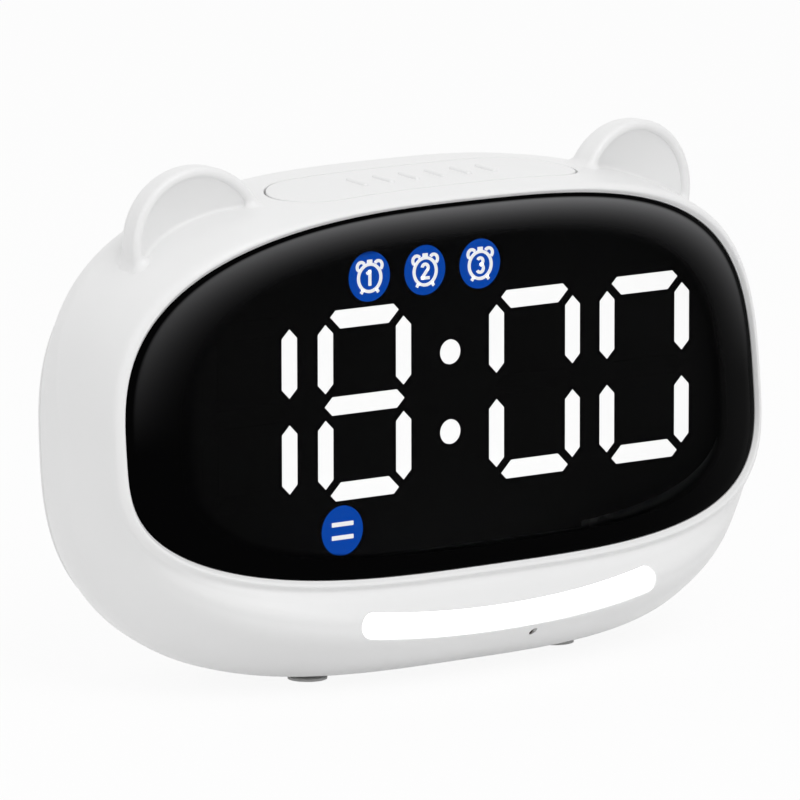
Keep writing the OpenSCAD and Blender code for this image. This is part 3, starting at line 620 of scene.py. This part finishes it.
# A tool whose wall follows an outline, with a rounded edge where it crosses the body's skin.
# A positive radius opens it outwards, for a rounded hole; a negative one closes it.
def softTool(name, outline, radius, upright, deep):
    outline = np.asarray(outline, float)
    t = np.roll(outline, -1, 0) - np.roll(outline, 1, 0)
    normal = np.stack([t[:, 1], -t[:, 0]], 1) / np.linalg.norm(t, axis=1)[:, None]
    if np.sum(normal * (outline - outline.mean(0))) < 0:
        normal = -normal
    size, way = abs(radius), math.copysign(1, radius)
    profile = [(softCut["flare"] * size, -softCut["rise"] * size)]
    profile += [(size * (1 - math.sin(a)), size * (1 - math.cos(a)))
                for a in np.radians(softCut["angles"])]
    loops = []
    for grow, into in profile:
        at = outline + normal * grow * way
        if upright:
            loops.append(np.array([(x, y, topAt(x, y) - into) for x, y in at]))
        else:
            loops.append(np.array([(x, frontAt(x, z) + into, z) for x, z in at]))
    far, near = loops[0].copy(), loops[-1].copy()
    k = 2 if upright else 1
    far[:, k] = topZ + softCut["above"] if upright else frontReach - softCut["before"]
    near[:, k] = deep
    return skinPiece(name, [far] + loops + [near], False, None, rides=None)


# --- front housing with its ears
snooze = dict(length=73.2, width=21.0, gap=0.4, y=21.8, guideLow=-7.9, edge=0.22, steps=48,
              straight=24, slotDeep=9)
ears = dict(x=54.4, y=22.0, r=15.0, thick=11.5, straight=3.0, rise=5.7, scoop=4.0, rim=2.2,
            lip=0.35, turn=5.0, dishPower=2.2, fillet=1.8, dishFillet=0.8, reach=1.05, foot=0.15,
            under=0.3, spread=1.6, stations=300, near=4.0, coreRing=6, core=0.6, coreY=(5, 48))
strip = dict(length=74.0, high=5.2, rise=2.6, above=12.3, x=2.9, lowX=-2.0, gap=0.1, deep=4.0,
             edge=0.3, steps=60, turnSteps=20)
sensor = dict(x=8.6, wide=1.6, below=1.7, before=5)
seat = dict(play=0.1, wide=2.6, back=3.7, front=2.2, walls=(1.2, 0.4))  # where the screen sits


def stripLine(x):
    far = x + strip["x"] - strip["lowX"]
    return baseZ + strip["above"] + strip["rise"] * (2 * far / strip["length"]) ** 2


def stripOutline(grow):
    h = strip["high"] / 2 + grow
    reach = (strip["length"] - strip["high"]) / 2
    lean = lambda x: math.atan(8 * strip["rise"] * (x + strip["x"] - strip["lowX"])
                               / strip["length"] ** 2)
    edge = lambda x, way: (x - way * h * math.sin(lean(x)),
                           stripLine(x) + way * h * math.cos(lean(x)))
    steps, turn = strip["steps"], strip["turnSteps"]
    out = [edge(along(-reach, reach, i / steps), 1) for i in range(steps + 1)]
    for i in range(1, turn):
        a = math.pi / 2 + lean(reach) - math.pi * i / turn
        out.append((reach + h * math.cos(a), stripLine(reach) + h * math.sin(a)))
    out += [edge(along(reach, -reach, i / steps), -1) for i in range(steps + 1)]
    for i in range(1, turn):
        a = -math.pi / 2 + lean(-reach) - math.pi * i / turn
        out.append((-reach + h * math.cos(a), stripLine(-reach) + h * math.sin(a)))
    return [(x + strip["x"], z) for x, z in out]


# Radius and depth of the ear's outline, from the middle of its dish round to its back
def earProfile():
    hollow, lip = ears["r"] - ears["rim"], ears["rim"] / 2
    dome = ears["thick"] - ears["straight"]
    deep = ears["scoop"] - ears["lip"]
    dish = [(hollow * q, ears["lip"] + deep * (1 - q ** ears["dishPower"]))
            for q in np.linspace(0.02, 1, 50)[:-1]]
    bead = [(ears["r"] - lip + lip * math.cos(a), ears["lip"] + lip * math.sin(a))
            for a in np.linspace(math.pi, math.tau, 14)]
    side = [(ears["r"], y) for y in np.linspace(ears["lip"], ears["straight"], 12)[1:-1]]
    back = [(ears["r"] * math.sin(a), ears["straight"] + dome * math.cos(a))
            for a in np.linspace(math.pi / 2, 0.02, 48)]
    return dish, bead + side + back


# How far a fillet of a radius stands out at a height over the body
def filletReach(height, radius):
    foot = ears["foot"] * radius
    t = min(max(height, foot), radius)
    reach = radius - math.sqrt(radius ** 2 - (radius - t) ** 2)
    if height < foot:
        reach += (foot - max(height, -ears["under"] * radius)) * ears["spread"]
    return reach


def makeEar(side):
    dish, rest = earProfile()
    count = ears["stations"]
    cx, cz = side * ears["x"], topZ + ears["rise"] - ears["r"]
    angles = np.arange(count) * math.tau / count
    turn = math.radians(ears["turn"])
    c, s = math.cos(turn), side * math.sin(turn)
    loops = []
    for r, y in dish + rest:
        u = r * np.cos(angles)
        loops.append(np.stack([cx + u * c - y * s, ears["y"] + u * s + y * c,
                               cz + r * np.sin(angles)], 1))
    ear = skinPiece("earWork", loops, False, None, rides=None)
    points = np.concatenate(loops)
    normals = np.array([v.normal for v in ear.data.vertices])
    reach = ears["fillet"] * ears["reach"]
    for i, p in enumerate(points):
        spot, out = skin.find_nearest(Vector(p), ears["near"])[:2]
        if spot is None:
            continue
        height = (Vector(p) - spot).dot(out) * skinSide
        radius = ears["dishFillet"] if i < len(dish) * count else ears["fillet"]
        if not -reach < height < radius:
            continue
        flat = Vector(normals[i])
        flat -= flat.dot(out) * out
        if flat.length > 0.2:
            points[i] += np.array(flat.normalized()) * filletReach(height, radius)
    ear.data.vertices.foreach_set("co", place(points).ravel())
    ear.data.update()
    inner = ringPoints(innerRing(ears["coreRing"], body["wall"] * ears["core"]), 240)[:, [0, 2]]
    carve(ear, prism("coreWork", inner, *ears["coreY"]))  # only what is outside the walls is kept
    return ear


# Which way the skin's faces look: 1 where outwards
skinSide = 1 if skin.ray_cast(Vector((0, 22, 90)), Vector((0, 0, -1)))[1][2] > 0 else -1


def makeHousing():
    outside = smoothRings(rings[:splitRing + 1], body["steps"])
    chamfer = body["seamChamfer"]
    lip = outside[-1].copy()
    lip[:3] += [-chamfer, -chamfer, chamfer]
    outside[-1][3:6] -= chamfer
    inside = [innerRing(k, body["wall"]) for k in range(splitRing, 3, -1)]
    ledge = [screenRing(seat["play"], seat["back"]), screenRing(seat["wide"], seat["back"]),
             screenRing(seat["wide"], seat["front"]), screenRing(0, seat["front"])]
    ledge += [screenRing(0, back) for back in seat["walls"]]
    shell = loft("frontShell", np.vstack([outside, [lip], inside, ledge]), "whiteShell", True,
                 slot="white_shell")
    carve(shell, joined([makeEar(-1), makeEar(1)]), "UNION")
    slot = stadiumOutline(snooze["length"], snooze["width"], 0, snooze["y"], snooze["steps"],
                          snooze["straight"])
    hole = circleOutline(sensor["x"], baseZ + strip["above"] - strip["high"] / 2 - sensor["below"],
                         sensor["wide"] / 2, 32)
    carve(shell, joined([
        softTool("slotWork", slot, snooze["edge"], True, topZ - snooze["slotDeep"]),
        softTool("stripWork", stripOutline(0), strip["edge"], False, strip["deep"]),
        prism("holeWork", hole, frontReach - sensor["before"], strip["deep"])]))
    smoothByAngle(shell)
    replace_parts(shell, "front_housing")


makeHousing()
print("housing made")


# --- screen
lensShape = dict(shares=(0.08, 0.2, 0.35, 0.5, 0.65, 0.78, 0.88, 0.95), thick=1.8,
                 edge=((0.45, 0), (0.2, 0.08), (0.15, 0.3), (0.15, 1.75)))  # inset, depth


def lensRing(share, back):
    a = body["screenWide"] / 2 * share
    up = level + (body["screenUp"] - level) * share
    down = level - (body["screenDown"] + level) * share
    return [a, up, down, screenY(a, level) + back, screenY(0, up) + back,
            screenY(0, down) + back, body["upperSquare"], body["lowerSquare"]]


def makeLens():
    shares = lensShape["shares"]
    front = [lensRing(share, 0) for share in shares]
    edge = [screenRing(*step) for step in lensShape["edge"]]
    back = [lensRing(share, lensShape["thick"]) for share in shares[::-1]]
    lens = loft("screenLens", np.vstack([front, edge, back]), "darkLens", False,
                slot="dark_lens")
    smoothByAngle(lens, 50)
    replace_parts(lens, "display_lens")


makeLens()

digits = dict(high=38.6, wide=19.2, colonGap=11.6, gap=8.8, line=3.7, endGap=0.8, middleGap=2.7,
              skew=0.6, middleOut=0.2, barIn=1.2, x=0.6, y=13.0, deep=1.6, dot=5.0, dotPitch=16.3)
# Segments: 0 bottom, 1 middle, 2 top, 3 left and 4 right above, 5 left and 6 right below
litSegments = {"1": (4, 6), "8": (0, 1, 2, 3, 4, 5, 6), "0": (0, 2, 3, 4, 5, 6)}
endZ = (digits["high"] - digits["line"]) / 2
uprightZ = (endZ - digits["endGap"] + digits["middleGap"]) / 2


def segmentOutline(reach, skew):
    h = digits["line"] / 2
    top, low = reach - h + skew, reach - h - skew
    return [(-reach, skew), (-top, h), (top, h), (reach, skew), (low, -h), (-low, -h)]


def segmentPlace(x, k):
    if k == 1:
        reach = digits["wide"] / 2 + digits["middleOut"]
        return [(x + u, v) for u, v in segmentOutline(reach, 0)]
    if k < 3:
        reach = digits["wide"] / 2 - digits["barIn"]
        return [(x + u, (k - 1) * (endZ + v)) for u, v in segmentOutline(reach, digits["skew"])]
    cx = x + (0.5 if k % 2 == 0 else -0.5) * digits["wide"]
    cz = uprightZ if k < 5 else -uprightZ
    return [(cx - v, cz + u) for u, v in segmentOutline(uprightZ - digits["middleGap"], 0)]


# Flat shapes with a little thickness, in one piece
def flatMarks(name, shapes, y, proud, look, slot, rides="housing"):
    verts, faces = [], []
    for shape in shapes:
        n, at = len(shape), len(verts)
        verts += [(u, y, v) for u, v in shape] + [(u, y - proud, v) for u, v in shape]
        faces += [[at + i, at + (i + 1) % n, at + n + (i + 1) % n, at + n + i] for i in range(n)]
        faces += [[at + i for i in range(n)], [at + n + i for i in range(n)][::-1]]
    piece = makePiece(name, place(verts), faces, look, rides, slot, False)
    turnOut(piece)
    return piece


def makeDigit(name, x, sign, node):
    for lit in (True, False):
        shapes = [segmentPlace(x, k) for k in range(7) if (k in litSegments[sign]) == lit]
        if shapes:
            piece = flatMarks(name + ("Lit" if lit else "Dark"), shapes,
                              digits["y"] + digits["deep"], digits["deep"],
                              "litDigit" if lit else "unlitSegment", "lit_digit")
            if lit:
                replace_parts(piece, node)


innerDigit = digits["colonGap"] + digits["wide"] / 2
outerDigit = innerDigit + digits["wide"] + digits["gap"]
for name, x, sign, node in (("hourTens", -outerDigit, "1", "hour_tens"),
                            ("hourUnits", -innerDigit, "8", "hour_units"),
                            ("minuteTens", innerDigit, "0", "minute_tens"),
                            ("minuteUnits", outerDigit, "0", "minute_units")):
    makeDigit(name, digits["x"] + x, sign, node)

icons = dict(wide=10.1, pitch=13.7, x=-5.7, z=25.4, lowX=-26.2, lowZ=-25.4, ring=2.75, line=0.62,
             drop=0.25, bell=0.95, bellOut=0.4, bellAngle=42, bellStart=95, bellTurn=190,
             footAngle=35, footFrom=0.1, footTo=0.95, knob=0.6, twoBars=2.6, twoBarsZ=1.35,
             twoBarsLine=0.85, proud=0.2)
iconPlaces = [(icons["x"] + k * icons["pitch"], icons["z"]) for k in (-1, 0, 1)]


def arcBand(cx, cz, r, line, start, end, steps=40):
    out = [(cx + (r + line / 2) * math.cos(a), cz + (r + line / 2) * math.sin(a))
           for a in np.linspace(start, end, steps)]
    out += [(cx + (r - line / 2) * math.cos(a), cz + (r - line / 2) * math.sin(a))
            for a in np.linspace(end, start, steps)]
    return out


def bar(x0, z0, x1, z1, line):
    dx, dz = x1 - x0, z1 - z0
    size = math.hypot(dx, dz)
    nx, nz = -dz / size * line / 2, dx / size * line / 2
    return [(x0 + nx, z0 + nz), (x0 - nx, z0 - nz), (x1 - nx, z1 - nz), (x1 + nx, z1 + nz)]


def numberShapes(number, cx, cz):
    line = icons["line"]
    if number == 1:
        return [bar(cx + 0.05, cz - 1.6, cx + 0.05, cz + 1.6, line),
                bar(cx - 0.75, cz + 0.85, cx + 0.1, cz + 1.4, line * 0.9)]
    if number == 2:
        return [arcBand(cx, cz + 0.72, 0.75, line, math.radians(170), math.radians(-35)),
                bar(cx + 0.62, cz + 0.35, cx - 0.85, cz - 1.35, line),
                bar(cx - 1.0, cz - 1.35, cx + 1.05, cz - 1.35, line)]
    return [arcBand(cx, cz + 0.75, 0.68, line, math.radians(150), math.radians(-90)),
            arcBand(cx, cz - 0.7, 0.8, line, math.radians(90), math.radians(-150))]


def clockShapes(cx, cz, number):
    r, line = icons["ring"], icons["line"]
    cz -= icons["drop"]
    shapes = [arcBand(cx, cz, r, line, math.pi / 2 + 0.001, math.pi * 1.5),
              arcBand(cx, cz, r, line, math.pi * 1.5, math.pi * 2.5)]
    for side in (-1, 1):
        a = math.radians(90 - side * icons["bellAngle"])
        start = a - math.radians(icons["bellStart"])
        bellAway = r + icons["bellOut"]
        shapes.append(arcBand(cx + bellAway * math.cos(a), cz + bellAway * math.sin(a),
                              icons["bell"], line, start, start + math.radians(icons["bellTurn"]),
                              16))
        f = math.radians(270 + side * icons["footAngle"])
        near, far = r + icons["footFrom"], r + icons["footTo"]
        shapes.append(bar(cx + near * math.cos(f), cz + near * math.sin(f),
                          cx + far * math.cos(f), cz + far * math.sin(f), line))
    knob = icons["knob"]
    shapes.append(bar(cx - knob, cz + r + knob, cx + knob, cz + r + knob, line))
    return shapes + numberShapes(number, cx, cz)


def makeIcons():
    places = iconPlaces + [(icons["lowX"], icons["lowZ"])]
    low, deep = digits["y"] + digits["deep"], digits["deep"]
    discs = flatMarks("iconDiscs", [circleOutline(x, z, icons["wide"] / 2) for x, z in places],
                      low, deep, "blueIcon", "blue_icon")
    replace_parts(discs, "icon_discs")
    shapes = []
    for k, (x, z) in enumerate(iconPlaces):
        shapes += clockShapes(x, z, k + 1)
    for side in (-1, 1):
        z = icons["lowZ"] + side * icons["twoBarsZ"]
        shapes.append(bar(icons["lowX"] - icons["twoBars"], z, icons["lowX"] + icons["twoBars"], z,
                          icons["twoBarsLine"]))
    marks = flatMarks("iconMarks", shapes, digits["y"], icons["proud"], "whiteMark", "white_mark")
    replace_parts(marks, "icon_marks")
    dots = [circleOutline(digits["x"], s * digits["dotPitch"] / 2, digits["dot"] / 2)
            for s in (-1, 1)]
    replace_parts(flatMarks("colonDots", dots, low, deep, "litDigit", "lit_digit"), "colon_dots")


makeIcons()
print("screen made")

# --- snooze button: domed as the top, with a row of raised bars to find it by touch
bars = dict(count=6, pitch=6.4, long=7.0, wide=1.4, high=0.55, sunk=0.15, rows=28, columns=14)


def barGrid(cx, cy):
    rows, columns = bars["rows"], bars["columns"]
    verts, faces = [], []
    for i in range(rows + 1):
        for j in range(columns + 1):
            u, v = 2 * i / rows - 1, 2 * j / columns - 1
            x, y = cx + v * bars["wide"] / 2, cy + u * bars["long"] / 2
            far = max(abs(u) * bars["long"] - (bars["long"] - bars["wide"]), 0) / bars["wide"]
            dome = math.sqrt(max(1 - far ** 2 - v ** 2, 0))
            verts.append((x, y, topAt(x, y) - bars["sunk"] + (bars["high"] + bars["sunk"]) * dome))
    for i in range(rows):
        for j in range(columns):
            a = i * (columns + 1) + j
            faces.append([a, a + 1, a + columns + 2, a + columns + 1])
    return verts, faces


def makeSnooze():
    play = 2 * snooze["gap"]
    cap = stadiumOutline(snooze["length"] - play, snooze["width"] - play, 0, snooze["y"],
                         snooze["steps"], snooze["straight"])
    solid = loft("snoozeCap", smoothRings(rings[3:splitRing + 1], 6), "whiteButton", False,
                 rides="snooze_button", slot="white_button")
    carve(solid, softTool("capWork", cap, -snooze["edge"], True, topZ + snooze["guideLow"]),
          "INTERSECT")
    smoothByAngle(solid)
    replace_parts(solid, "snooze_button")
    verts, faces = [], []
    for k in range(bars["count"]):
        more, quads = barGrid((k - (bars["count"] - 1) / 2) * bars["pitch"], snooze["y"])
        faces += [[i + len(verts) for i in quad] for quad in quads]
        verts += more
    makePiece("snoozeBars", place(verts), faces, "whiteButton", "snooze_button", "white_button")


makeSnooze()


def makeStrip():
    solid = loft("lightBand", smoothRings(rings[3:8], 8), "lightStrip", False, slot="light_strip")
    carve(solid, softTool("bandWork", stripOutline(-strip["gap"]), -strip["edge"], False,
                          strip["deep"]), "INTERSECT")
    smoothByAngle(solid)
    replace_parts(solid, "night_light_diffuser")


makeStrip()
print("snooze button and night light made")

# --- rear cover
rear = dict(buttonZ=13.0, buttonWide=7.0, buttonPitch=14.0, buttonGap=0.3, speakerX=-29.0,
            speakerZ=-13.0, grillePitch=4.5, grilleHole=0.9, doorX=6.0, doorZ=-17.0,
            doorWide=27.0, doorThick=1.6, doorGap=0.15, bayWall=1.6, bayDeep=6.0, cellWide=20.0,
            socketX=38.0, socketZ=-20.0, socketWide=9.5, socketHigh=3.8, bossAngles=(45, -42),
            bossRing=11, bossWide=6.8, bossLong=4.9, screwWide=5.6, screwDeep=6, pilotWide=3.0,
            bossEnd=5, pilotFrom=6, pilotEnd=5.5, bayFloor=1.2, bayInto=0.4, doorScrewIn=2.6,
            doorScrewWide=2.1, cellGap=0.3, rims=(4, 9))
past = 1  # how far a tool stands out of what it cuts
buttonXs = [i * rear["buttonPitch"] for i in range(-2, 3)]
innerY = body["depth"] - body["wall"]


# Where the four housing screws go in
def bossPlaces():
    r = innerRing(rear["bossRing"], body["wall"])
    out = []
    for angle in rear["bossAngles"]:
        c, s = math.cos(math.radians(angle)), math.sin(math.radians(angle))
        power = 2 / (r[6] if s > 0 else r[7])
        reach = r[1] - level if s > 0 else level - r[2]
        z = level + reach * math.copysign(abs(s) ** power, s)
        out += [(side * r[0] * c ** power, z) for side in (-1, 1)]
    return out


def rodTool(x, z, r, y0, y1, steps=48):
    return prism("rod", circleOutline(x, z, r, steps), y0, y1)


def squareOutline(x, z, half):
    return [(x - half, z - half), (x + half, z - half), (x + half, z + half), (x - half, z + half)]


def makeCover():
    back = body["depth"]
    chamfer, gap = body["seamChamfer"], body["seamGap"]
    flat = [rings[-1] + np.array([-r, -r, r, 0, 0, 0, 0, 0]) for r in rear["rims"]]
    outside = smoothRings(np.vstack([rings[splitRing:], flat]), body["steps"])
    start = outside[0].copy()
    start[:3] += [-chamfer, -chamfer, chamfer]
    start[3:6] += gap
    outside[0][3:6] += chamfer + gap
    inside = [innerRing(k, body["wall"]) for k in range(len(rings) - 1, splitRing, -1)]
    rim = innerRing(splitRing, body["wall"])
    rim[3:6] += gap
    cover = loft("backCover", np.vstack([inside, [rim, start], outside]), "whiteShell", False,
                 slot="white_shell")

    bosses = bossPlaces()
    splitTop = back - body["coverDepth"]
    half = rear["doorWide"] / 2
    doorX, doorZ, bayY = rear["doorX"], rear["doorZ"], back - rear["bayDeep"]
    posts = [rodTool(x, z, rear["bossWide"] / 2, splitTop - rear["bossLong"],
                     back - rear["bossEnd"]) for x, z in bosses]
    posts.append(prism("bay", squareOutline(doorX, doorZ, half + rear["bayWall"]),
                       bayY - rear["bayFloor"], innerY + rear["bayInto"]))
    carve(cover, joined(posts), "UNION")

    through = (innerY - past, back + past)
    holes = [rodTool(x, z, rear["screwWide"] / 2, back - rear["screwDeep"], back + past)
             for x, z in bosses]
    holes += [rodTool(x, rear["buttonZ"], rear["buttonWide"] / 2 + rear["buttonGap"], *through, 64)
              for x in buttonXs]
    for ring in range(3):
        reach = ring * rear["grillePitch"]
        for i in range(max(6 * ring, 1)):
            a = math.radians(i * 60 / max(ring, 1))
            holes.append(rodTool(rear["speakerX"] + reach * math.cos(a),
                                 rear["speakerZ"] + reach * math.sin(a), rear["grilleHole"],
                                 *through, 32))
    holes.append(prism("recess", squareOutline(doorX, doorZ, half + rear["doorGap"]),
                       back - rear["doorThick"] - 0.1, back + past))
    holes.append(prism("socket", stadiumOutline(rear["socketWide"], rear["socketHigh"],
                                                rear["socketX"], rear["socketZ"]), *through))
    carve(cover, joined(holes))

    inset = half - rear["doorScrewIn"]
    wells = [rodTool(doorX, doorZ, rear["cellWide"] / 2 + rear["cellGap"], bayY, back + 2 * past,
                     96),
             rodTool(doorX + inset, doorZ - inset, rear["doorScrewWide"] / 2, bayY,
                     back + 2 * past)]
    wells += [rodTool(x, z, rear["pilotWide"] / 2, splitTop - rear["pilotFrom"],
                      back - rear["pilotEnd"]) for x, z in bosses]
    carve(cover, joined(wells))
    smoothByAngle(cover, 30)
    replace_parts(cover, "rear_cover")


makeCover()
print("rear cover made")

# --- rear buttons: rounded caps with a raised sign each
caps = dict(edge=0.7, dish=0.15, sign=0.15, flange=0.8, flangeHigh=1.0, flangeGap=0.1, stem=1.5,
            stemLow=-6.2, centre=0.05, stations=72)


def signShapes(index, x, z):
    if index == 0:  # set: a ring with a dot
        return [arcBand(x, z, 1.5, 0.45, 0, math.pi), arcBand(x, z, 1.5, 0.45, math.pi, math.tau),
                circleOutline(x, z, 0.5, 24)]
    if index == 1:  # down
        return [[(x - 1.4, z + 0.8), (x + 1.4, z + 0.8), (x, z - 1.3)]]
    if index == 2:  # up
        return [[(x - 1.4, z - 0.8), (x + 1.4, z - 0.8), (x, z + 1.3)]]
    if index == 3:  # alarm: a bell
        return [arcBand(x, z, 0.55, 1.1, 0, math.pi, 24), squareOutline(x, z - 0.35, 1.1)[:2]
                + [(x + 1.1, z), (x - 1.1, z)], circleOutline(x, z - 1.9, 0.35, 20)]
    rays = [bar(x + 1.25 * math.cos(a), z + 1.25 * math.sin(a), x + 1.9 * math.cos(a),
                z + 1.9 * math.sin(a), 0.4) for a in np.arange(8) * math.tau / 8]
    return [circleOutline(x, z, 0.8, 32)] + rays  # light: a lamp with rays


def makeCaps():
    top = body["depth"] + body["capProud"] - caps["sign"]
    low = innerY - caps["flangeHigh"] - caps["flangeGap"]
    end = body["depth"] + caps["stemLow"]
    r, edge, dish = rear["buttonWide"] / 2, caps["edge"], caps["dish"]
    shapes = [(caps["centre"], top - dish), (r * 0.5, top - dish * 0.75), (r - edge - 0.2, top)]
    shapes += [(r - edge * (1 - math.sin(a)), top - edge * (1 - math.cos(a)))
               for a in np.linspace(0.2, math.pi / 2, 8)]
    shapes += [(r, low + caps["flangeHigh"]), (r + caps["flange"], low + caps["flangeHigh"]),
               (r + caps["flange"], low), (caps["stem"], low), (caps["stem"], end),
               (caps["centre"], end)]
    count = caps["stations"]
    angles = np.arange(count) * math.tau / count
    for index, word in enumerate(("set", "down", "up", "alarm", "light")):
        node, x, z = word + "_button", buttonXs[index], rear["buttonZ"]
        loops = [np.stack([x + q * np.cos(angles), np.full(count, y), z + q * np.sin(angles)], 1)
                 for q, y in shapes]
        cap = skinPiece(word + "Cap", loops, False, "whiteButton", rides=node, slot="white_button")
        smoothByAngle(cap, 35)
        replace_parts(cap, node)
        flatMarks(word + "Sign", signShapes(index, x, z), top + caps["sign"],
                  caps["sign"] + dish + 0.1, "whiteButton", "white_button", node)


makeCaps()
print("rear buttons made")

# --- floor, light and camera
studio = dict(floorSize=20.0, floorTone=0.86, floorGlow=0.92, horizon=0.6, zenith=0.8)


def makeFloor():
    size = studio["floorSize"]
    floor = makePiece("studioFloor", [(-size, -size, 0), (size, -size, 0), (size, size, 0),
                                      (-size, size, 0)], [[0, 1, 2, 3]], None, rides=None,
                      smooth=False)
    f = Finish("studioFloor", rough=0.9, shine=0.0, colour=(studio["floorTone"],) * 3)
    both = f.node("ShaderNodeMixShader", None, {0: f.seen() * studio["floorGlow"], 1: f.shader,
                                                2: f.node("ShaderNodeEmission")})
    f.put(f.end.made.inputs["Surface"], both)
    floor.data.materials.append(f.material)


def makeWorld():
    world = bpy.data.worlds.new("studio")
    bpy.context.scene.world = world
    world.use_nodes = True
    w = Nodes(world.node_tree)
    split = w.node("ShaderNodeSeparateXYZ", None, {0: w.node("ShaderNodeTexCoord")})
    sky = w.node("ShaderNodeMapRange", None, {0: split.part(2), 3: studio["horizon"],
                                              4: studio["zenith"]})
    light = w.node("ShaderNodeBackground", None, {0: sky})
    white = w.node("ShaderNodeBackground", None, {0: (1, 1, 1)})
    both = w.node("ShaderNodeMixShader", None, {0: w.seen(), 1: light, 2: white})
    w.node("ShaderNodeOutputWorld", None, {0: both})


lamps = dict(topLight=dict(spot=(-0.1, -1.0, 1.2), size=0.9, watts=6.6),
             leftLight=dict(spot=(-1.3, -0.4, 0.5), size=1.0, watts=1.6))
lampTarget = Vector((0, 0, 0.05))


def areaLight(name, spot, size, watts):
    lamp = bpy.data.lights.new(name, "AREA")
    lamp.size = size
    lamp.energy = watts
    obj = bpy.data.objects.new(name, lamp)
    bpy.context.scene.collection.objects.link(obj)
    obj.location = spot
    obj.rotation_euler = (lampTarget - Vector(spot)).to_track_quat("-Z", "Y").to_euler()


# Turn and rise in degrees, distance and focal length in mm, and how many pixels of the picture
# the view's middle lies beside and above the screen's
camera = dict(turn=-36.52, rise=9.97, away=1800.0, focal=405.0, sensor=36.0, picture=800,
              aside=86.4, above=1.05)


def makeCamera():
    turn, rise = math.radians(camera["turn"]), math.radians(camera["rise"])
    back = Vector((math.sin(turn) * math.cos(rise), -math.cos(turn) * math.cos(rise),
                   math.sin(rise)))
    spot = Vector(place([(0, 0, 0)])[0]) + back * camera["away"] * mm
    right = (-back).cross(Vector((0, 0, 1))).normalized()
    pixel = camera["sensor"] / camera["picture"] / camera["focal"]
    forward = (-back - right * camera["aside"] * pixel
               + right.cross(-back) * camera["above"] * pixel).normalized()
    side = forward.cross(right.cross(-back)).normalized()
    data = bpy.data.cameras.new("camera")
    data.lens = camera["focal"]
    data.sensor_width = camera["sensor"]
    obj = bpy.data.objects.new("camera", data)
    bpy.context.scene.collection.objects.link(obj)
    turned = Matrix((side, side.cross(forward), -forward)).transposed()
    obj.matrix_world = Matrix.Translation(spot) @ turned.to_4x4()
    bpy.context.scene.camera = obj


makeFloor()
makeWorld()
for name, settings in lamps.items():
    areaLight(name, **settings)
makeCamera()
bpy.context.scene.view_settings.view_transform = "Standard"
print("stage made")
